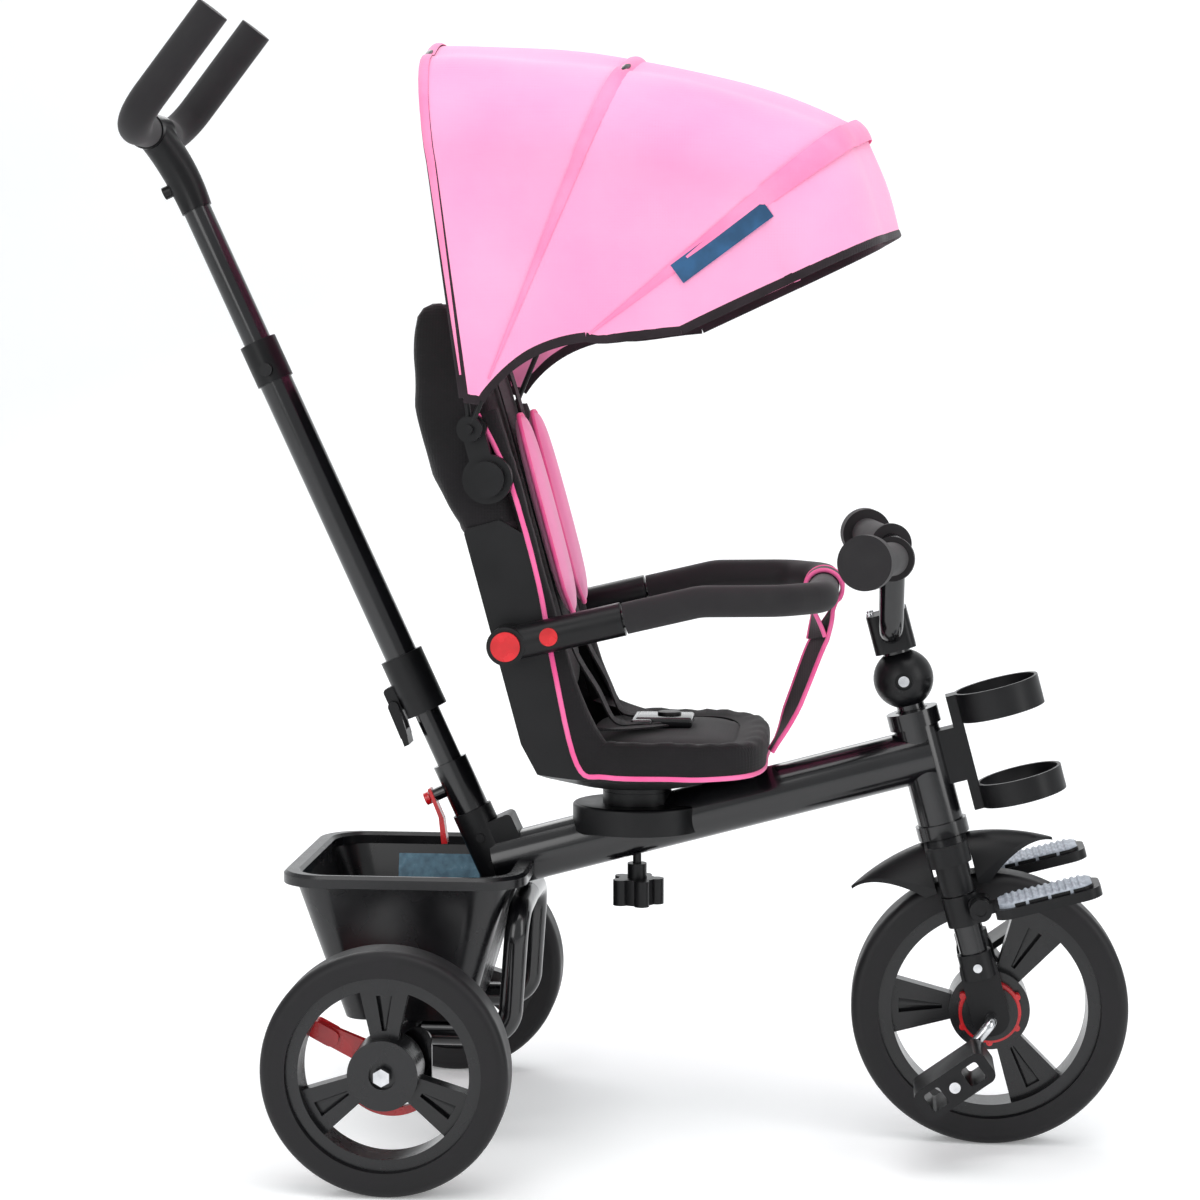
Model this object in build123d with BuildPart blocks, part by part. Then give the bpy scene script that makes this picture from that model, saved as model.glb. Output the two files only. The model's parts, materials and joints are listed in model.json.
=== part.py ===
from build123d import *
import math
import os

os.makedirs("parts", exist_ok=True)

# ---- driving dimensions, mm; "forward" is measured from the rear axle, heights from the floor
rear_axle_x = -192.5        # puts the origin under the middle of the whole box
wheelbase = 529
track = 430
rear_wheel_radius = 109
front_wheel_radius = 127
head_lean = 15              # degrees, steering axis leaning back
pole_lean = 24.5            # degrees, push handle leaning back
back_lean = 15              # degrees, backrest
sliding_fit = 0.05          # radial clearance of shafts in their bores
clear = 0.3                 # gap between soft or curved neighbours

main_tube_diameter = 50
main_tube_rise = 15.1       # degrees
tube_wall = 2.5


def spot(forward, height, side=0):
    return Vector(rear_axle_x + forward, side, height)


def lean_plane(forward, height, lean):
    """side view plane: x forward across the lean, y up along it, z to the rider's right"""
    c = math.cos(math.radians(lean))
    s = math.sin(math.radians(lean))
    return Plane(origin=spot(forward, height), x_dir=(c, 0, s), z_dir=(0, -1, 0))


def across(frame, up, forward=0, right=0):
    """plane square to the lean, at a place in the leaning frame"""
    return Plane(origin=frame.from_local_coords(Vector(forward, up, right)), x_dir=frame.x_dir, z_dir=frame.y_dir)


def aside(frame, forward, up, right):
    """side view plane of a leaning frame moved to a place in it"""
    origin = frame.from_local_coords(Vector(forward, up, right))
    return Plane(origin=origin, x_dir=frame.x_dir, z_dir=frame.z_dir)


side_view = Plane(origin=spot(0, 0), x_dir=(1, 0, 0), z_dir=(0, -1, 0))
head = lean_plane(wheelbase, front_wheel_radius, head_lean)
pole_foot_x, pole_foot_z = 64, 265
pole = lean_plane(pole_foot_x, pole_foot_z, pole_lean)
back_x, back_z = 128, 345
back = lean_plane(back_x, back_z, back_lean)


def rod(start, end, radius, mode=Mode.ADD):
    """cylinder between two points, inside a BuildPart"""
    run = end - start
    with BuildSketch(Plane(origin=start, z_dir=run.normalized())) as section:
        Circle(radius)
    extrude(section.sketch, amount=run.length, mode=mode)


def disc(plane, radius, low, high, mode=Mode.ADD):
    """cylinder along a plane's normal from low to high, inside a BuildPart"""
    with BuildSketch(plane.offset(low)) as section:
        Circle(radius)
    extrude(section.sketch, amount=high - low, mode=mode)


def bent_bar(points, radii, radius, mode=Mode.ADD):
    """bar swept along straight runs joined by arcs, inside a BuildPart"""
    with BuildLine() as route:
        FilletPolyline(*points, radius=radii)
    path = route.wire()
    with BuildSketch(Plane(origin=path @ 0, z_dir=path % 0)) as section:
        Circle(radius)
    sweep(section.sketch, path=path, mode=mode)


def keep(builder, name):
    builder.part.label = name
    export_step(builder.part, "parts/" + name + ".step")


def keep_group(builders, name):
    """several separate solids of one body in one file"""
    group = Compound(label=name, children=[solid for builder in builders for solid in builder.part.solids()])
    export_step(group, "parts/" + name + ".step")


# ---- wheels
shoulder = 9
axle_radius = 6


def make_tyre(centre, radius, depth, width):
    with BuildPart() as tyre:
        with BuildSketch(Plane(origin=centre, x_dir=(0, 1, 0), z_dir=(1, 0, 0))) as section:
            with Locations((0, radius - depth / 2)):
                Rectangle(width, depth)
            fillet(section.vertices().group_by(Axis.Y)[-1], radius=shoulder)
        revolve(axis=Axis(centre, (0, 1, 0)))
    return tyre


def make_rim(centre, outer, inner, width, hub, hub_width, angles, bore, cap=0, cap_side=1):
    face = Plane(origin=centre, x_dir=(1, 0, 0), z_dir=(0, -1, 0))
    spoke_width = 16
    cap_depth = 4
    with BuildPart() as rim:
        with BuildSketch(face):
            Circle(outer)
            Circle(inner, mode=Mode.SUBTRACT)
        extrude(amount=width / 2, both=True)
        with BuildSketch(face):
            Circle(hub)
        extrude(amount=hub_width / 2, both=True)
        with BuildSketch(face):
            for angle in angles:
                with Locations(Location((0, 0, 0), (0, 0, angle))):
                    Polygon((hub - 5, -11), (inner + 2, -inner * 0.3), (inner + 2, inner * 0.3), (hub - 5, 11),
                            align=None)
                    Polygon((hub + 6, -2), (inner - 7, -7), (inner - 7, 7), (hub + 6, 2), align=None,
                            mode=Mode.SUBTRACT)
        extrude(amount=spoke_width / 2, both=True)
        with BuildSketch(face):
            Circle(bore)
        extrude(amount=hub_width, both=True, mode=Mode.SUBTRACT)
        if cap:
            with BuildSketch(face.offset(cap_side * (hub_width / 2 - cap_depth))):
                Circle(cap)
            extrude(amount=cap_side * cap_depth, mode=Mode.SUBTRACT)
    return rim


rear_tyre_depth = 23
rear_tyre_width = 42
rear_hub_radius = 31
rear_hub_width = 40
rear_ring_width = 32
ring_depth = 11
cap_radius = 22
cap_thickness = 4
nut_radius = 8
nut_height = 6
for name, side in (("left", 1), ("right", -1)):
    centre = spot(0, rear_wheel_radius, side * track / 2)
    ring = rear_wheel_radius - rear_tyre_depth
    keep(make_tyre(centre, rear_wheel_radius, rear_tyre_depth, rear_tyre_width), "rear_tyre_" + name)
    rim = make_rim(centre, ring, ring - ring_depth, rear_ring_width, rear_hub_radius, rear_hub_width,
                   (90, 210, 330), axle_radius + sliding_fit, cap_radius, -side)
    with BuildPart() as hub_cap:
        outward = Plane(origin=centre, x_dir=(1, 0, 0), z_dir=(0, side, 0))
        disc(outward, cap_radius, rear_hub_width / 2 - cap_thickness, rear_hub_width / 2)
        disc(outward, nut_radius + 4, rear_hub_width / 2 - cap_thickness, rear_hub_width, Mode.SUBTRACT)
    keep_group([rim, hub_cap], "rear_rim_" + name)

# ---- rear axle
axle_tube_radius = 12
axle_tube_half = 192
hub_face = track / 2 + rear_hub_width / 2
with BuildPart() as rear_axle:
    rod(spot(0, rear_wheel_radius, -hub_face), spot(0, rear_wheel_radius, hub_face), axle_radius)
with BuildPart() as axle_tube:
    rod(spot(0, rear_wheel_radius, -axle_tube_half), spot(0, rear_wheel_radius, axle_tube_half), axle_tube_radius)
    rod(spot(0, rear_wheel_radius, -axle_tube_half), spot(0, rear_wheel_radius, axle_tube_half), axle_radius,
        Mode.SUBTRACT)
with BuildPart() as axle_nuts:
    for side in (1, -1):
        with BuildSketch(Plane(origin=spot(0, rear_wheel_radius, side * hub_face), z_dir=(0, side, 0))):
            RegularPolygon(nut_radius, 6)
        extrude(amount=nut_height)
keep_group([rear_axle, axle_nuts], "rear_axle")

# ---- brake pedals turn on the axle tube, each beside its wheel, with a steel stop plate behind it
brake_inner = 181
brake_width = 7
brake_ring_radius = 21
pad_overhang = 8
shoe_outer = 48
shoe_inner = 41
for name, side in (("left", 1), ("right", -1)):
    up = -side              # the outline plane's y points down on the left and up on the right
    with BuildPart() as brake:
        face = Plane(origin=spot(0, rear_wheel_radius, side * brake_inner), x_dir=(1, 0, 0), z_dir=(0, side, 0))
        with BuildSketch(face) as outline:
            Circle(brake_ring_radius)
            Polygon((-58, up * 33), (-64, up * 18), (-10, up * -10), (-10, up * 14), align=None)
            Polygon((-7, 0), (-9, -up * 45), (9, -up * 45), (7, 0), align=None)
            with BuildSketch(mode=Mode.PRIVATE) as shoe:
                Circle(shoe_outer)
                Circle(shoe_inner, mode=Mode.SUBTRACT)
                with Locations((0, -up * shoe_outer)):
                    Rectangle(2 * shoe_inner, shoe_outer, mode=Mode.INTERSECT)
            add(shoe.sketch)
            Circle(axle_tube_radius + sliding_fit, mode=Mode.SUBTRACT)
        extrude(amount=brake_width)
        with BuildSketch(face.offset(-pad_overhang)):
            with Locations(Location((-60, up * 25, 0), (0, 0, -up * 28))):
                SlotOverall(30, 15)
        extrude(amount=brake_width + 2 * pad_overhang - 4)
    keep(brake, "brake_pedal_" + name)

bracket_thickness = 4
with BuildPart() as brake_brackets:
    for side in (1, -1):
        inner_face = side * (brake_inner - clear - bracket_thickness)
        face = Plane(origin=spot(0, rear_wheel_radius, inner_face), x_dir=(1, 0, 0), z_dir=(0, side, 0))
        with BuildSketch(face):
            Circle(axle_tube_radius + 6)
            with Locations((22, 0)):
                SlotOverall(60, 26, rotation=90)
            Circle(axle_tube_radius, mode=Mode.SUBTRACT)
        extrude(amount=bracket_thickness)


# ---- frame tubes
tube_slope = math.tan(math.radians(main_tube_rise))
tube_start_x, tube_start_z = 70, 253.5
tube_start = spot(tube_start_x, tube_start_z)
tube_run = Vector(math.cos(math.radians(main_tube_rise)), 0, math.sin(math.radians(main_tube_rise)))
head_tube_low = 165
head_tube_high = 285
head_tube_radius = 21
steerer_radius = 12.7
bush_wall = 2.3


def tube_height(forward):
    """height of the main tube's axis above the floor"""
    return tube_start_z + (forward - tube_start_x) * tube_slope


lean_slope = math.tan(math.radians(head_lean))
tube_foot = tube_start_z - tube_start_x * tube_slope - front_wheel_radius
meeting_x = (wheelbase - tube_foot * lean_slope) / (1 + tube_slope * lean_slope)
tube_length = (meeting_x - tube_start_x) / tube_run.X + 8


with BuildPart() as head_tube:
    disc(across(head, 0), head_tube_radius, head_tube_low, head_tube_high)
    for low, high in ((head_tube_low, head_tube_low + 13), (head_tube_high - 15, head_tube_high)):
        disc(across(head, 0), head_tube_radius + 3, low, high)
    disc(across(head, 0), steerer_radius + bush_wall, head_tube_low, head_tube_high, Mode.SUBTRACT)
keep(head_tube, "head_tube")

with BuildPart() as headset_bushes:
    for low in (head_tube_low, head_tube_high - 30):
        disc(across(head, 0), steerer_radius + bush_wall, low, low + 30)
        disc(across(head, 0), steerer_radius + sliding_fit, low, low + 30, Mode.SUBTRACT)
keep(headset_bushes, "headset_bushes")

seat_axis_x = 202           # seat swivel and knob, forward of the rear axle
stem_radius = 4
socket_radius = 19
screw_radius = 4
screw_height = 3
with BuildPart() as main_tube:
    with BuildSketch(Plane(origin=tube_start, z_dir=tube_run)):
        Circle(main_tube_diameter / 2)
        Circle(main_tube_diameter / 2 - tube_wall, mode=Mode.SUBTRACT)
    extrude(amount=tube_length)
    disc(across(head, 0), head_tube_radius, head_tube_low - 60, head_tube_high + 60, Mode.SUBTRACT)
    rod(spot(seat_axis_x, 150), spot(seat_axis_x, 400), stem_radius + sliding_fit, Mode.SUBTRACT)
    disc(across(pole, 0), socket_radius, -90, 90, Mode.SUBTRACT)
keep(main_tube, "main_tube")

yoke_radius = 11
yoke_side = 78
with BuildPart() as rear_yoke:
    bent_bar([spot(99, 224, 0), spot(99, 220, -yoke_side), spot(91, rear_wheel_radius, -yoke_side),
              spot(axle_tube_radius - 1, rear_wheel_radius, -yoke_side)], [26, 24], yoke_radius)
    mirror(about=Plane.XZ)
    rod(spot(0, rear_wheel_radius, -track / 2), spot(0, rear_wheel_radius, track / 2), axle_tube_radius,
        Mode.SUBTRACT)
    rod(tube_start, tube_start + tube_run * 200, main_tube_diameter / 2, Mode.SUBTRACT)
keep_group([rear_yoke, axle_tube, brake_brackets], "rear_frame")

# ---- basket: a tapered bucket with a rolled rim, standing on the axle tube
basket_foot_x, basket_mouth_x = -4, -6
foot_long, foot_wide, foot_corner = 116, 170, 20
mouth_long, mouth_wide, mouth_corner = 196, 224, 34
rim_half_long = 112
rim_half_wide = 118
rim_height = 249
rim_corner = 40
rim_thick = 11.2
basket_floor = rear_wheel_radius + axle_tube_radius
basket_wall = 3
with BuildPart() as basket:
    with BuildSketch(Plane(origin=spot(basket_foot_x, basket_floor))):
        RectangleRounded(foot_long, foot_wide, foot_corner)
    with BuildSketch(Plane(origin=spot(basket_mouth_x, rim_height))):
        RectangleRounded(mouth_long, mouth_wide, mouth_corner)
    loft()
    with BuildSketch(Plane(origin=spot(basket_foot_x, basket_floor + basket_wall))):
        RectangleRounded(foot_long - 2 * basket_wall, foot_wide - 2 * basket_wall, foot_corner - basket_wall)
    with BuildSketch(Plane(origin=spot(basket_mouth_x, rim_height))):
        RectangleRounded(mouth_long - 2 * basket_wall, mouth_wide - 2 * basket_wall, mouth_corner - basket_wall)
    loft(mode=Mode.SUBTRACT)
    rod(tube_start - tube_run * 30, tube_start + tube_run * 200, main_tube_diameter / 2 + clear, Mode.SUBTRACT)
    disc(across(pole, 0), socket_radius + screw_height + clear, -60, 60, Mode.SUBTRACT)
with BuildPart() as basket_rim:
    with BuildSketch(Plane(origin=spot(basket_foot_x, rim_height))):
        RectangleRounded(2 * rim_half_long, 2 * rim_half_wide, rim_corner)
        RectangleRounded(mouth_long - 2 * basket_wall, mouth_wide - 2 * basket_wall, mouth_corner - basket_wall,
                         mode=Mode.SUBTRACT)
    extrude(amount=rim_thick)
    chamfer(basket_rim.edges().group_by(Axis.Z)[-1], length=3)
    rod(tube_start, tube_start + tube_run * 200, main_tube_diameter / 2 + clear, Mode.SUBTRACT)
    disc(across(pole, 0), socket_radius + screw_height + clear, -60, 60, Mode.SUBTRACT)
keep_group([basket, basket_rim], "basket")

# ---- push-handle socket on the rear end of the main tube
stub_radius = 12
socket_low = -22
socket_high = 42
with BuildPart() as handle_socket:
    with BuildSketch(pole):
        with Locations((17, 4)):
            RectangleRounded(34, 44, 5)
    extrude(amount=16, both=True)
    rod(tube_start - tube_run * 30, tube_start + tube_run * 200, main_tube_diameter / 2, Mode.SUBTRACT)
    disc(across(pole, 0), socket_radius, socket_low, socket_high)
    disc(across(pole, 0), stub_radius + sliding_fit, socket_low + 6, socket_high, Mode.SUBTRACT)


with BuildPart() as frame_screws:
    for up in (-12, 16):
        disc(aside(pole, 0, up, 0), screw_radius, socket_radius, socket_radius + screw_height)
        disc(aside(pole, 0, up, 0), screw_radius, -socket_radius - screw_height, -socket_radius)
keep_group([handle_socket, frame_screws], "handle_socket")

# ---- seat saddle clamped on the main tube, with its star knob underneath
saddle_low = 288
saddle_disc = 25
swivel_radius = 32
saddle_top = tube_height(seat_axis_x + swivel_radius) + main_tube_diameter / 2 / tube_run.X + 0.5
saddle_bore = 12
tube_rod_length = 330
with BuildPart() as saddle:
    with BuildSketch(Plane(origin=spot(seat_axis_x, saddle_low))):
        Ellipse(60, 52)
    extrude(amount=saddle_disc)
    fillet(saddle.edges().group_by(Axis.Z)[-1], radius=3)
    rod(spot(seat_axis_x, saddle_low), spot(seat_axis_x, saddle_top), swivel_radius)
    rod(tube_start, tube_start + tube_run * tube_rod_length, main_tube_diameter / 2, Mode.SUBTRACT)
    rod(spot(seat_axis_x, saddle_top - 4), spot(seat_axis_x, saddle_top), saddle_bore, Mode.SUBTRACT)
    rod(spot(seat_axis_x, saddle_low), spot(seat_axis_x, saddle_top), stem_radius + sliding_fit, Mode.SUBTRACT)
keep(saddle, "seat_saddle")

knob_low = 217
knob_high = 241
knob_radius = 25
with BuildPart() as seat_knob:
    with BuildSketch(Plane(origin=spot(seat_axis_x, knob_low))):
        Circle(knob_radius - 8)
        with PolarLocations(knob_radius - 7, 5):
            Circle(7)
    extrude(amount=knob_high - knob_low)
    rod(spot(seat_axis_x, knob_high), spot(seat_axis_x, knob_high + 14), 9)
    rod(tube_start, tube_start + tube_run * tube_rod_length, main_tube_diameter / 2 + clear, Mode.SUBTRACT)
    rod(spot(seat_axis_x, knob_high), spot(seat_axis_x, saddle_top - 5), stem_radius)
keep(seat_knob, "seat_knob")

# ---- cup holder on the front of the head tube
cup_forward = 80
cup_inner = 36.5
cup_wall = 3
cup_low, cup_high = 182, 290
with BuildPart() as cup_holder:
    for low, high in ((263, cup_high), (cup_low, 204)):
        with BuildSketch(across(head, low, cup_forward)):
            Circle(cup_inner + cup_wall)
            Circle(cup_inner, mode=Mode.SUBTRACT)
        extrude(amount=high - low)
    with BuildSketch(head):
        with Locations((38, (cup_low + cup_high) / 2)):
            Rectangle(10, cup_high - cup_low)
        with Locations((30, 236)):
            Rectangle(26, 50)
    extrude(amount=11, both=True)
    with BuildSketch(across(head, cup_low - 1, cup_forward)):
        Circle(cup_inner)
    extrude(amount=cup_high - cup_low + 2, mode=Mode.SUBTRACT)
    disc(across(head, 0), head_tube_radius, head_tube_low, head_tube_high, Mode.SUBTRACT)
keep(cup_holder, "cup_holder")

# ---- steering: steerer, crown and legs
leg_side = 45
leg_radius = 12.5
leg_low, crown_low, crown_high = 38, 146, 164.7
crown_half = 60
crown_long = 34
crown_corner = 14
steerer_high = 349
with BuildPart() as fork:
    for side in (1, -1):
        disc(across(head, 0, 0, side * leg_side), leg_radius, leg_low, crown_high)
    with BuildSketch(across(head, crown_low)):
        RectangleRounded(crown_long, 2 * crown_half, crown_corner)
    extrude(amount=crown_high - crown_low)
    disc(across(head, 0), steerer_radius, crown_high, steerer_high)
keep(fork, "fork")

tip_high = 62
tip_low = -17
tip_thickness = 12
spindle_radius = 5
with BuildPart() as fork_tips:
    for side in (1, -1):
        with BuildSketch(aside(head, 0, 0, side * leg_side)):
            with Locations((0, (tip_high + tip_low) / 2)):
                SlotOverall(tip_high - tip_low, 34, rotation=90)
        extrude(amount=tip_thickness / 2, both=True)
        disc(across(head, 0, 0, side * leg_side), leg_radius + 3, leg_low, tip_high)
    for side in (1, -1):
        disc(across(head, 0, 0, side * leg_side), leg_radius, leg_low, tip_high, Mode.SUBTRACT)
    disc(head, spindle_radius + sliding_fit, -80, 80, Mode.SUBTRACT)
with BuildPart() as leg_bolts:
    for side in (1, -1):
        disc(aside(head, 0, 50, 0), screw_radius, side * (leg_side + leg_radius + 3),
             side * (leg_side + leg_radius + 3 + screw_height))
cover_wall = 2.5
cover_low = 118
with BuildPart() as crown_cover:
    for side in (1, -1):
        disc(across(head, 0, 0, side * leg_side), leg_radius + cover_wall, cover_low, crown_low)
        disc(across(head, 0, 0, side * leg_side), leg_radius, cover_low, crown_low, Mode.SUBTRACT)
    with BuildSketch(across(head, crown_low)):
        RectangleRounded(crown_long + 2 * cover_wall, 2 * (crown_half + cover_wall), crown_corner)
        RectangleRounded(crown_long, 2 * crown_half, crown_corner, mode=Mode.SUBTRACT)
    extrude(amount=crown_high - crown_low)
# ---- front fender: a pointed leaf, arched lengthwise and bent into a saddle over the tyre
fender_half_long = 95
fender_half_wide = 31
fender_wall = 2.5
fender_ridge = 164
fender_tip = 139
fender_section_half = 32
fender_section_high = 62
fender_drop = 44
arch_rise = fender_ridge - fender_tip
arch_radius = (fender_half_long ** 2 + arch_rise ** 2) / (2 * arch_rise)
arch_centre = head.from_local_coords(Vector(0, fender_ridge - arch_radius, 0))
with BuildPart() as fender:
    with BuildSketch(Plane(origin=arch_centre, x_dir=(0, 1, 0), z_dir=-head.x_dir)) as section:
        with Locations((0, arch_radius - fender_section_high)):
            Ellipse(fender_section_half, fender_section_high)
            Ellipse(fender_section_half - fender_wall, fender_section_high - fender_wall, mode=Mode.SUBTRACT)
        with Locations((0, arch_radius - fender_drop - fender_section_high)):
            Rectangle(3 * fender_section_half, 2 * fender_section_high, mode=Mode.SUBTRACT)
    revolve(axis=Axis(arch_centre, (0, 1, 0)))
    with BuildSketch(across(head, 0)):
        with BuildLine():
            ThreePointArc((-fender_half_long, 0), (0, fender_half_wide), (fender_half_long, 0))
            ThreePointArc((fender_half_long, 0), (0, -fender_half_wide), (-fender_half_long, 0))
        make_face()
    extrude(amount=2 * fender_ridge, mode=Mode.INTERSECT)
    with BuildSketch(across(head, cover_low)):
        RectangleRounded(crown_long + 2 * cover_wall, 2 * (crown_half + cover_wall), crown_corner)
    extrude(amount=2 * crown_high, mode=Mode.SUBTRACT)
keep_group([fender, crown_cover], "front_fender")

ball_height = 315
ball_radius = 27.5
ball_low = head_tube_high + clear
with BuildPart() as ball_cover:
    with Locations(head.from_local_coords(Vector(0, ball_height, 0))):
        Sphere(ball_radius)
    disc(across(head, 0), 60, ball_low - 40, ball_low, Mode.SUBTRACT)
    disc(across(head, 0), steerer_radius, 200, 400, Mode.SUBTRACT)
    disc(aside(head, 0, ball_height, 0), 8, ball_radius - 4, ball_radius + 2, Mode.SUBTRACT)
with BuildPart() as ball_screw:
    disc(aside(head, 0, ball_height, 0), screw_radius + 1, ball_radius - 4, ball_radius - 1)
bar_radius = 11
bar_height = 362
clamp_low, clamp_high = 343, 379
with BuildPart() as bar_clamp:
    with BuildSketch(across(head, clamp_low)):
        RectangleRounded(38, 46, 8)
    extrude(amount=clamp_high - clamp_low)
    disc(aside(head, 0, bar_height, 0), bar_radius, -60, 60, Mode.SUBTRACT)
    disc(across(head, 0), steerer_radius, 300, steerer_high, Mode.SUBTRACT)
    with Locations(head.from_local_coords(Vector(0, ball_height, 0))):
        Sphere(ball_radius + clear, mode=Mode.SUBTRACT)
keep_group([ball_cover, bar_clamp], "handlebar_stem")

with BuildPart() as clamp_screws:
    for forward in (-14.8, 14.8):
        for right in (-12, 12):
            disc(across(head, 0, forward, right), 3.2, clamp_high, clamp_high + 3)
keep_group([clamp_screws, ball_screw, leg_bolts], "steering_screws")

grip_inner = 75
grip_outer = 178
bar_points = [(-3, 441, grip_outer), (21, 430, grip_inner), (18, 425, 54), (0, bar_height, 37)]
with BuildPart() as handlebar:
    right_half = [head.from_local_coords(Vector(f, u, r)) for f, u, r in bar_points]
    left_half = [head.from_local_coords(Vector(f, u, -r)) for f, u, r in reversed(bar_points)]
    bent_bar(right_half + left_half, [10, 14, 18, 18, 14, 10], bar_radius)
keep(handlebar, "handlebar")

grip_radius = 15
grips = []
for side in (-1, 1):
    outer = head.from_local_coords(Vector(-3, 441, side * grip_outer))
    inner = head.from_local_coords(Vector(21, 430, side * grip_inner))
    run = (outer - inner).normalized()
    with BuildPart() as grip:
        rod(inner + run * 8, outer + run * 4, grip_radius)
        rod(inner + run * 8, inner + run * 12, grip_radius + 5)
        rod(outer - run * 6, outer + run * 6, grip_radius + 9)
        rod(inner - run * 4, outer + run * 2, bar_radius, Mode.SUBTRACT)
    grips.append(grip)
keep_group(grips, "handlebar_grips")

# ---- footrests fold up on clamps round the fork legs
rest_up = 103
rest_forward = 16
hinge_radius = 5
rest_tilt = -1
rest_in, rest_out = 62.5, 118
rest_long = 96
block_reach = 17
clamps = []
for name, side in (("left", -1), ("right", 1)):
    with BuildPart() as clamp:
        disc(across(head, 0, 0, side * leg_side), leg_radius + 4, rest_up - 14, rest_up + 14)
        with BuildSketch(aside(head, 0, 0, side * leg_side)):
            with Locations((rest_forward, rest_up)):
                RectangleRounded(20, 20, 6)
        extrude(amount=side * block_reach)
        disc(across(head, 0, 0, side * leg_side), leg_radius, 0, 160, Mode.SUBTRACT)
        disc(aside(head, rest_forward, rest_up, 0), hinge_radius, side * (leg_side + block_reach - 4),
             side * (leg_side + block_reach + 13))
    clamps.append(clamp)
    with BuildPart() as footrest:
        hub_start = leg_side + block_reach + clear
        with BuildSketch(aside(head, 0, 0, side * hub_start)):
            with Locations((rest_forward, rest_up)):
                Circle(10)
            with Locations((rest_forward + 16, rest_up)):
                Rectangle(32, 9)
        extrude(amount=side * 14)
        plate_mid = side * (rest_in + rest_out) / 2
        with BuildSketch(across(head, rest_up - 4.5, rest_forward + 12 + rest_long / 2, plate_mid)):
            RectangleRounded(rest_long, rest_out - rest_in, 16)
        extrude(amount=9)
        disc(aside(head, rest_forward, rest_up, 0), 13, side * (hub_start + 14), side * (rest_out + 9), Mode.SUBTRACT)
        disc(aside(head, rest_forward, rest_up, 0), hinge_radius + sliding_fit, 0, side * (rest_out + 9),
             Mode.SUBTRACT)
    with BuildPart() as pad:
        with BuildSketch(across(head, rest_up + 4.5, rest_forward + 14 + rest_long / 2, plate_mid)):
            RectangleRounded(rest_long - 16, rest_out - rest_in - 8, 12)
            with GridLocations(20, 1, 3, 1):
                Rectangle(3, 80, mode=Mode.SUBTRACT)
        extrude(amount=3)
    keep_group([footrest, pad], "footrest_" + name)
keep_group([fork_tips] + clamps, "leg_fittings")

# ---- front wheel, clutch ring, crank and pedals
front_centre = spot(wheelbase, front_wheel_radius)
front_tyre_depth = 25
front_ring = front_wheel_radius - front_tyre_depth
front_hub_width = 40
boss_radius = 25.5
boss_end = 33
keep(make_tyre(front_centre, front_wheel_radius, front_tyre_depth, 44), "front_tyre")
front_rim = make_rim(front_centre, front_ring, front_ring - 12, 34, 37, front_hub_width, (180, 60, 300),
                     spindle_radius + sliding_fit)
with BuildPart() as front_rim_whole:
    add(front_rim.part)
    disc(Plane(origin=front_centre, z_dir=(0, -1, 0)), boss_radius, front_hub_width / 2, boss_end)
    disc(Plane(origin=front_centre, z_dir=(0, -1, 0)), spindle_radius + sliding_fit, -60, 60, Mode.SUBTRACT)
keep(front_rim_whole, "front_rim")

clutch_travel = 4
clutch_radius = 28.5
with BuildPart() as clutch_ring:
    outward = Plane(origin=front_centre, z_dir=(0, -1, 0))
    disc(outward, clutch_radius, front_hub_width / 2 + clear, boss_end - clutch_travel)
    for angle in range(0, 360, 60):
        with BuildSketch(outward.offset(front_hub_width / 2 + clear)):
            with PolarLocations(clutch_radius, 1, start_angle=angle):
                Circle(3)
        extrude(amount=boss_end - clutch_travel - front_hub_width / 2 - clear)
    disc(outward, boss_radius + sliding_fit, 0, boss_end, Mode.SUBTRACT)
keep(clutch_ring, "clutch_ring")

crank_angle = 231           # degrees from forward, right-hand pedal
crank_length = 55
crank_side = 70
pedal_inner = 80
pedal_outer = 136
reach = Vector(math.cos(math.radians(crank_angle)), 0, math.sin(math.radians(crank_angle))) * crank_length
with BuildPart() as crank:
    right_pedal = front_centre + reach
    left_pedal = front_centre - reach
    bent_bar([right_pedal + Vector(0, -pedal_outer, 0), right_pedal + Vector(0, -crank_side, 0),
              front_centre + Vector(0, -crank_side, 0), front_centre + Vector(0, crank_side, 0),
              left_pedal + Vector(0, crank_side, 0), left_pedal + Vector(0, pedal_outer, 0)],
             [8, 8, 8, 8], spindle_radius)
keep(crank, "crank")

pedal_long = 74
pedal_thick = 30
pedal_tilt = 36
for name, side, middle in (("left", 1, left_pedal), ("right", -1, right_pedal)):
    with BuildPart() as pedal:
        face = Plane(origin=middle, x_dir=(1, 0, 0), z_dir=(0, -1, 0)).rotated((0, -pedal_tilt, 0))
        with BuildSketch(face.offset(-side * pedal_inner)):
            RectangleRounded(pedal_long, pedal_thick, 8)
            for end in (1, -1):
                with Locations((end * 20, 0)):
                    RectangleRounded(16, pedal_thick - 12, 3, mode=Mode.SUBTRACT)
            Circle(spindle_radius + sliding_fit, mode=Mode.SUBTRACT)
        extrude(amount=-side * (pedal_outer - pedal_inner - 4))
    keep(pedal, "pedal_" + name)

# ---- push handle
clamp_foot, clamp_top = 144, 201
middle_radius = 15.5
upper_radius = 13
middle_high = 513
with BuildPart() as pole_stub:
    disc(across(pole, 0), stub_radius, socket_low + 6.5, 166)
    disc(across(pole, 0), 16.5, socket_high + clear, 92)
    pin_seat = Plane(origin=pole.from_local_coords(Vector(-26, 68, 0)), z_dir=pole.x_dir)
    disc(pin_seat, 6, 0, 12)
    disc(pin_seat, 3 + sliding_fit, -1, 20, Mode.SUBTRACT)
keep(pole_stub, "pole_stub")

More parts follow.
